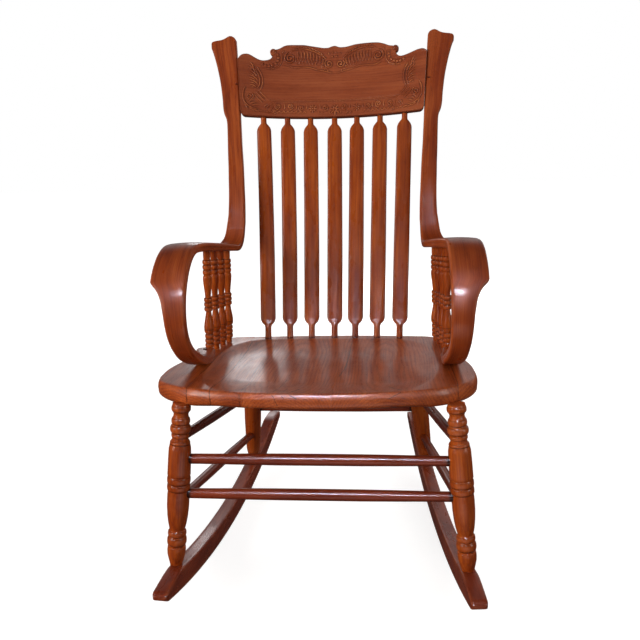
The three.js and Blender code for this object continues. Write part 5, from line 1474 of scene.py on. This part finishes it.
# Extra stations close to both ends.
NOSE_STATIONS = np.array([0.0004, 0.0015, 0.0035, 0.006, 0.010, 0.015, 0.021, 0.028, 0.036])


def build_runner(word, side, number):
    """A plank sawn to an arc, with round noses and softened edges."""
    stations = np.linspace(-RUNNER_FRONT, RUNNER_REAR, RUNNER_STATIONS)
    stations = np.unique(np.r_[stations, -RUNNER_FRONT + NOSE_STATIONS, RUNNER_REAR - NOSE_STATIONS])
    cos, sin = math.cos(side * RUNNER_TOE_IN), math.sin(side * RUNNER_TOE_IN)
    rows, places, edges = [], [], []
    for along in stations:
        low = runner_arc(RUNNER_RADIUS, along)
        high = runner_arc(RUNNER_RADIUS - RUNNER_DEPTH, along)
        reach = min(along + RUNNER_FRONT, RUNNER_REAR - along)
        top = low + (high - low) * (1 - (1 - NOSE_TIP) * (1 - np.clip(reach / NOSE_TOP, 0, 1)) ** 1.3)
        top -= NOSE_ROUND_SHARE * (high - low) * (1 - np.sqrt(np.clip(reach / NOSE_ROUND, 0, 1)))
        bottom = low + NOSE_LIFT * (1 - np.clip(reach / NOSE_FOOT, 0, 1)) ** 1.8
        round_off = NOSE_SIDES * (1 - np.sqrt(np.clip(reach / NOSE_SIDE_REACH, 0, 1)))
        half = (RUNNER_WIDTH + RUNNER_EXTRA) / 2 - round_off
        section = rounded_section(half, (top - bottom) / 2, min(RUNNER_EDGE, (top - bottom) * 0.4), 4, 5)
        x, z = section[:, 0] - side * RUNNER_EXTRA / 2, (top + bottom) / 2 + section[:, 1]
        y = np.full(len(x), along)
        rows.append(np.column_stack([side * RUNNER_HALF_SPACING + x * cos - y * sin, x * sin + y * cos, z]))
        places.append(np.column_stack([y, x, z]))
        corner = smooth(half - 0.005, half - 0.001, np.abs(x))
        edges.append(corner * smooth(0.3, 0.9, np.abs(section[:, 1]) / ((top - bottom) / 2)))
    rows, places, edges = np.array(rows), np.array(places), np.array(edges)
    verts, faces = skin(rows)
    grain = with_ends(places, rows) + board_place(number, 0.02, 0.07)
    scuffed = smooth(SCUFF_HEIGHT, 0.0, rows[:, :, 2] - runner_arc(RUNNER_RADIUS, stations)[:, None])
    wear_and_highlight = np.clip(edges * RUNNER_EDGE_WEAR + scuffed * SCUFF_WEAR, 0, 1)
    add_piece(f"{word}_rocker", verts, faces, grain, WOOD["dark"], [f"{word}_runner"],
              wear_and_highlight=with_ends(wear_and_highlight, rows)[:, 0], tone=0.01 * side)


# ---- Screws and pins -----------------------------------------------------------------------


LEG_PIN_DEPTH = 0.012
LEG_PIN_RADIUS = 0.0025
CREST_PIN_RADIUS = 0.002
CREST_PIN_IN = 0.006
CREST_PIN_DROP = 0.024
# A pin's end: metres from the end, share of the radius, dirt.
PIN_END = ((-0.0006, 0.4, 0.1), (-0.0005, 0.75, 0.2), (-0.0001, 0.95, 0.6), (0.0006, 1, 0.9))


def build_pin(name, node, start, end, radius, number):
    length = np.linalg.norm(end - start)
    rows = [(along, radius * share) for along, share, _ in PIN_END]
    rows += [(length - along, radius * share) for along, share, _ in PIN_END[::-1]]
    shade_and_dirt = [shade for _, _, shade in PIN_END + PIN_END[::-1]]
    lathe(name, start, end, rows, shade_and_dirt, WOOD["dark"], [node], number, around=20)


def build_pins():
    for word, side in SIDES:
        turn = np.array([math.cos(side * RUNNER_TOE_IN), math.sin(side * RUNNER_TOE_IN), 0])
        for kind in ("front", "rear"):
            top, foot = leg_axis(kind, side)
            centre = foot + unit(foot - top) * LEG_PIN_DEPTH
            reach = turn * RUNNER_WIDTH / 2
            build_pin(f"{word}_{kind}_leg_peg", f"{word}_{kind}_leg_pin", centre - reach, centre + reach,
                      LEG_PIN_RADIUS, SAWN["leg_pin"] + (side > 0) + 2 * (kind == "rear"))
        height = (CREST_RISE - CREST_PIN_DROP) / 2
        centre = crest_place(side * crest_half(height), height)
        centre[0] = side * (crest_half(height) + CREST_PIN_IN)
        back = np.array([0, math.cos(CREST_RAKE), -math.sin(CREST_RAKE)]) * STRIP_THICKNESS / 2
        build_pin(f"{word}_crest_peg", f"{word}_crest_pin", centre - back, centre + back,
                  CREST_PIN_RADIUS, SAWN["crest_pin"] + (side > 0))


SCREW_FROM_END = 0.019
SCREW_HEAD = 0.0046
SCREW_SLOT = 0.0011
SCREW_TURN = math.radians(24)
SCREW_SHANK = ((0.0022, -0.034), (0.0022, -0.003), (SCREW_HEAD, -0.0008), (SCREW_HEAD, -0.0003))
SCREW_DOME = ((SCREW_HEAD, -0.0003), (SCREW_HEAD, 0.0001), (SCREW_HEAD * 0.93, 0.0006),
              (SCREW_HEAD * 0.75, 0.0010), (SCREW_HEAD * 0.4, 0.0012))


def build_screw(word, side):
    """A round head with a slot: a disc below, two half domes above, and the shank."""
    points, _, so_far, inner, outer = STRIP
    low, high, y, z = (np.interp(SCREW_FROM_END, so_far, part)
                       for part in (inner, outer, points[:, 0], points[:, 1]))
    head = np.array([side * (low + high) / 2, y, z]) + SEAT_UP * (STRIP_THICKNESS / 2)
    turn = side * SCREW_TURN
    first = np.array([math.cos(turn), math.sin(turn), 0])
    first = unit(first - SEAT_UP * first.dot(SEAT_UP))
    second = np.cross(SEAT_UP, first)
    bm = bmesh.new()

    def ring(points2, height):
        return [bm.verts.new(head + first * u + second * v + SEAT_UP * height) for u, v in points2]

    def stack(rings):
        for a, b in zip(rings[:-1], rings[1:]):
            for i in range(len(a)):
                j = (i + 1) % len(a)
                bm.faces.new((a[i], a[j], b[j], b[i]))
        bm.faces.new(list(reversed(rings[0])))
        bm.faces.new(rings[-1])

    full = [(math.cos(t), math.sin(t)) for t in np.linspace(0, 2 * math.pi, 32, endpoint=False)]
    stack([ring([(r * u, r * v) for u, v in full], z) for r, z in SCREW_SHANK])
    for way in (-1, 1):
        rings = []
        for radius, z in SCREW_DOME:
            limit = math.acos(min(1, SCREW_SLOT / 2 / radius))
            arc = [(radius * math.sin(t), way * radius * math.cos(t)) for t in np.linspace(-limit, limit, 17)]
            rings.append(ring(arc if way < 0 else arc[::-1], z))
        stack(rings)
    bmesh.ops.recalc_face_normals(bm, faces=bm.faces)
    bm.verts.index_update()
    verts = np.array([v.co for v in bm.verts])
    faces = [tuple(v.index for v in f.verts) for f in bm.faces]
    bm.free()
    add_piece(f"{word}_tail_screw", verts, faces, verts, STEEL, [f"{word}_arm_screw"],
              sharp=30)


# ---- Stage, lamps and camera ---------------------------------------------------------------


FLOOR_SIZE = 14.0
FLOOR_GLOW = (0.80, 1.0)
FLOOR_GLOW_REACH = (0.9, 3.2)
FLOOR_COLOUR = (0.42, 0.42, 0.42, 1)
FLOOR_BOUNCE = (0.14, 0.10, 0.08, 1)
WHITE = (1, 1, 1, 1)
CURTAIN_COLOUR = (1.0, 0.95, 0.94, 1)
CURTAIN_RADIUS = 6.0
CURTAIN_AROUND = 48
CURTAIN_UP = 18
CURTAIN_GLOW = 0.03
# The paler part behind the chair: its glow, where it sets in towards the back, and its lower and upper rim.
CURTAIN_REAR_GLOW = 0.40
CURTAIN_REAR = (1.0, 4.0)
CURTAIN_SILL = (0.65, 1.1)
CURTAIN_TOP = (4.6, 3.4)
MAT_HEIGHT = 0.0004
# A glowing patch on the floor mat ahead of the chair, seen only in reflections, puts a highlight down the
# legs.
PATCH_PLACE = (0.10, -0.95)
PATCH_SIZE = 0.60
PATCH_GLOW = 1.2
ROOM_COLOUR = (1.0, 0.94, 0.90, 1)
ROOM_GLOW = 0.11
WARM, COOL, BLUE = (1.0, 0.97, 0.93), (1.0, 0.97, 0.98), (0.66, 0.80, 1.0)
# Area lamps: place, target, size, watts, colour, kind and, where it isn't 180, spread in degrees. A soft
# one lights the wood, a mirrored one makes highlights on the varnish.
LAMPS = {
    "key_left": ((-2.4, -1.8, 1.0), (0, 0, 0.4), (1.4, 1.4), 90, WARM, "soft"),
    "fill_right": ((2.4, -1.1, 1.0), (0, 0, 0.4), (1.1, 1.3), 18, WARM, "soft"),
    "fill_front": ((0.4, -2.9, 1.5), (0, 0, 0.5), (1.6, 1.0), 13, WARM, "soft"),
    "fill_rear": ((0.9, 2.8, 1.3), (0, 0, 0.5), (1.8, 1.5), 62, WARM, "soft"),
    "fill_side": ((2.5, 1.3, 1.1), (0, 0, 0.5), (1.2, 1.4), 18, WARM, "soft"),
    "fill_top": ((0.0, -0.3, 2.7), (0, 0, 0.4), (1.6, 1.2), 4, WARM, "soft"),
    "window_left_arm": ((-0.725, -1.9, 1.68), (-0.26, -0.27, 0.47), (0.10, 0.4), 0.026, BLUE, "mirrored", 16),
    "window_middle": ((-0.15, -1.9, 1.84), (0.0, -0.33, 0.33), (0.8, 0.22), 1.9, BLUE, "mirrored", 26),
    "window_right_arm": ((0.26, -1.9, 1.68), (0.26, -0.27, 0.47), (0.10, 0.4), 0.25, BLUE, "mirrored", 16),
    "window_behind": ((-1.0, 4.0, 1.3), (-0.18, -0.1, 0.37), (0.6, 0.5), 3.2, COOL, "mirrored"),
    "ceiling": ((0.0, -1.2, 2.6), (0, -0.3, 0.5), (1.4, 1.0), 3.0, BLUE, "mirrored"),
    "side_window": ((-2.3, -1.9, 1.1), (0, 0, 0.4), (0.30, 1.3), 20, WARM, "mirrored"),
    "far_window": ((2.4, -1.5, 1.0), (0, 0, 0.4), (0.25, 1.2), 10, WARM, "mirrored"),
}
# The photograph's own viewpoint, fitted from the chair's straight and level parts, in radians.
CAMERA_PLACE = (0.11348, -1.47465, 0.77984)
CAMERA_YAW, CAMERA_PITCH, CAMERA_ROLL = -0.08947, 0.22846, -0.02705
CAMERA_SENSOR = 36
CAMERA_LENS = 41.625


def seen_directly(g):
    """1 for what the camera, a mirror or clear glass shows, 0 for light on its way to the chair."""
    rays = g.node("ShaderNodeLightPath")
    seen = g.math("MAXIMUM", rays.outputs["Is Camera Ray"], rays.outputs["Is Glossy Ray"])
    return g.math("MAXIMUM", seen, rays.outputs["Is Transmission Ray"])


def stage_piece(name, verts, faces, material):
    mesh = bpy.data.meshes.new(name)
    mesh.from_pydata(verts, [], faces)
    mesh.materials.append(material)
    piece = bpy.data.objects.new(name, mesh)
    bpy.context.scene.collection.objects.link(piece)
    return piece


def build_stage():
    """A white floor that keeps the chair's shadow and throws little light back up."""
    g = Graph(bpy.data.materials.new("floor_white"))
    pale = g.node("ShaderNodeBsdfDiffuse", {"Color": FLOOR_COLOUR})
    reach = g.vector("LENGTH", g.node("ShaderNodeTexCoord").outputs["Object"], output="Value")
    strength = g.span(reach, *FLOOR_GLOW_REACH, *FLOOR_GLOW)
    glow = g.node("ShaderNodeEmission", {"Color": WHITE, "Strength": strength})
    shown = g.node("ShaderNodeAddShader", {0: pale.outputs[0], 1: glow.outputs[0]})
    bounce = g.node("ShaderNodeBsdfDiffuse", {"Color": FLOOR_BOUNCE})
    total = g.node("ShaderNodeMixShader", {0: seen_directly(g), 1: bounce.outputs[0], 2: shown.outputs[0]})
    g.node("ShaderNodeOutputMaterial", {"Surface": total.outputs[0]})
    s = FLOOR_SIZE
    stage_piece("floor", [(-s, -s, 0), (s, -s, 0), (s, s, 0), (-s, s, 0)], [(0, 1, 2, 3)], g.owner)


def build_curtain():
    """Dark studio cloths that only the varnish mirrors, glowing paler behind the chair, and a mat on the
    floor whose bright glowing patch ahead of the chair gives the legs a highlight.
    """
    g = Graph(bpy.data.materials.new("dark_cloth"))
    place = g.node("ShaderNodeTexCoord").outputs["Object"]
    reach = g.vector("LENGTH", g.vector("SUBTRACT", place, (*PATCH_PLACE, 0.0)), output="Value")
    strength = g.span(reach, PATCH_SIZE, 0.1, CURTAIN_GLOW, PATCH_GLOW)
    parts = g.node("ShaderNodeSeparateXYZ", {0: place})
    height = parts.outputs["Z"]
    rear = g.times(g.span(parts.outputs["Y"], *CURTAIN_REAR), g.span(height, *CURTAIN_SILL))
    rear = g.times(rear, g.span(height, *CURTAIN_TOP))
    strength = g.add(strength, g.times(rear, CURTAIN_REAR_GLOW))
    cloth_glow = g.node("ShaderNodeEmission", {"Color": CURTAIN_COLOUR, "Strength": strength})
    g.node("ShaderNodeOutputMaterial", {"Surface": cloth_glow.outputs[0]})
    verts = []
    around, radius = CURTAIN_AROUND, CURTAIN_RADIUS
    for j in range(CURTAIN_UP + 1):
        rise = math.pi / 2 * j / CURTAIN_UP
        for i in range(around):
            angle = 2 * math.pi * i / around
            verts.append((radius * math.sin(angle) * math.cos(rise),
                          radius * math.cos(angle) * math.cos(rise), radius * math.sin(rise)))
    faces = ring_quads(CURTAIN_UP + 1, around) + [tuple(range(len(verts), len(verts) + 4))]
    r, z = FLOOR_SIZE, MAT_HEIGHT
    verts += [(-r, -r, z), (r, -r, z), (r, r, z), (-r, r, z)]
    curtain = stage_piece("curtain", verts, faces, g.owner)
    for rays in ("camera", "diffuse", "shadow", "transmission", "volume_scatter"):
        setattr(curtain, f"visible_{rays}", False)


def build_world():
    """White where it is seen, and a dim warm room where it lights the chair."""
    bpy.context.scene.world = bpy.data.worlds.new("white_room")
    g = Graph(bpy.context.scene.world)
    room = g.node("ShaderNodeBackground", {"Color": ROOM_COLOUR, "Strength": ROOM_GLOW})
    white = g.node("ShaderNodeBackground", {"Color": WHITE, "Strength": 1.0})
    choice = g.node("ShaderNodeMixShader", {0: seen_directly(g), 1: room.outputs[0], 2: white.outputs[0]})
    g.node("ShaderNodeOutputWorld", {"Surface": choice.outputs[0]})


def build_lamp(name, place, target, size, power, colour, kind, spread=180):
    light = bpy.data.lights.new(name, "AREA")
    light.shape = "RECTANGLE"
    light.size, light.size_y = size
    light.energy = power
    light.color = colour
    light.spread = math.radians(spread)
    lamp = bpy.data.objects.new(name, light)
    bpy.context.scene.collection.objects.link(lamp)
    lamp.location = place
    lamp.rotation_euler = (Vector(target) - Vector(place)).to_track_quat("-Z", "Y").to_euler()
    lamp.visible_camera = False
    lamp.visible_glossy = kind == "mirrored"
    lamp.visible_diffuse = kind == "soft"


def build_camera():
    yaw, pitch, roll = CAMERA_YAW, CAMERA_PITCH, CAMERA_ROLL
    forward = Vector((math.sin(yaw) * math.cos(pitch), math.cos(yaw) * math.cos(pitch), -math.sin(pitch)))
    level = Vector((math.cos(yaw), -math.sin(yaw), 0))
    above = level.cross(forward)
    right = math.cos(roll) * level + math.sin(roll) * above
    up = -math.sin(roll) * level + math.cos(roll) * above
    data = bpy.data.cameras.new("camera")
    data.sensor_width = CAMERA_SENSOR
    data.lens = CAMERA_LENS
    camera = bpy.data.objects.new("camera", data)
    bpy.context.scene.collection.objects.link(camera)
    turn = Matrix((right, up, -forward)).transposed().to_4x4()
    camera.matrix_world = Matrix.Translation(CAMERA_PLACE) @ turn
    bpy.context.scene.camera = camera


build_seat()
for number, (word, side) in enumerate(SIDES):
    build_strip(word, side, number)
    build_screw(word, side)
    build_runner(word, side, SAWN["runner"] + number)
    for spindle in range(ARM_COUNT):
        build_arm_spindle(word, side, spindle)
build_crest()
build_knobs()
for number in range(BACK_COUNT):
    build_back_spindle(number)
build_base()
build_pins()
build_stage()
build_curtain()
build_world()
for name, settings in LAMPS.items():
    build_lamp(name, *settings)
build_camera()
bpy.context.scene.view_settings.view_transform = "Standard"
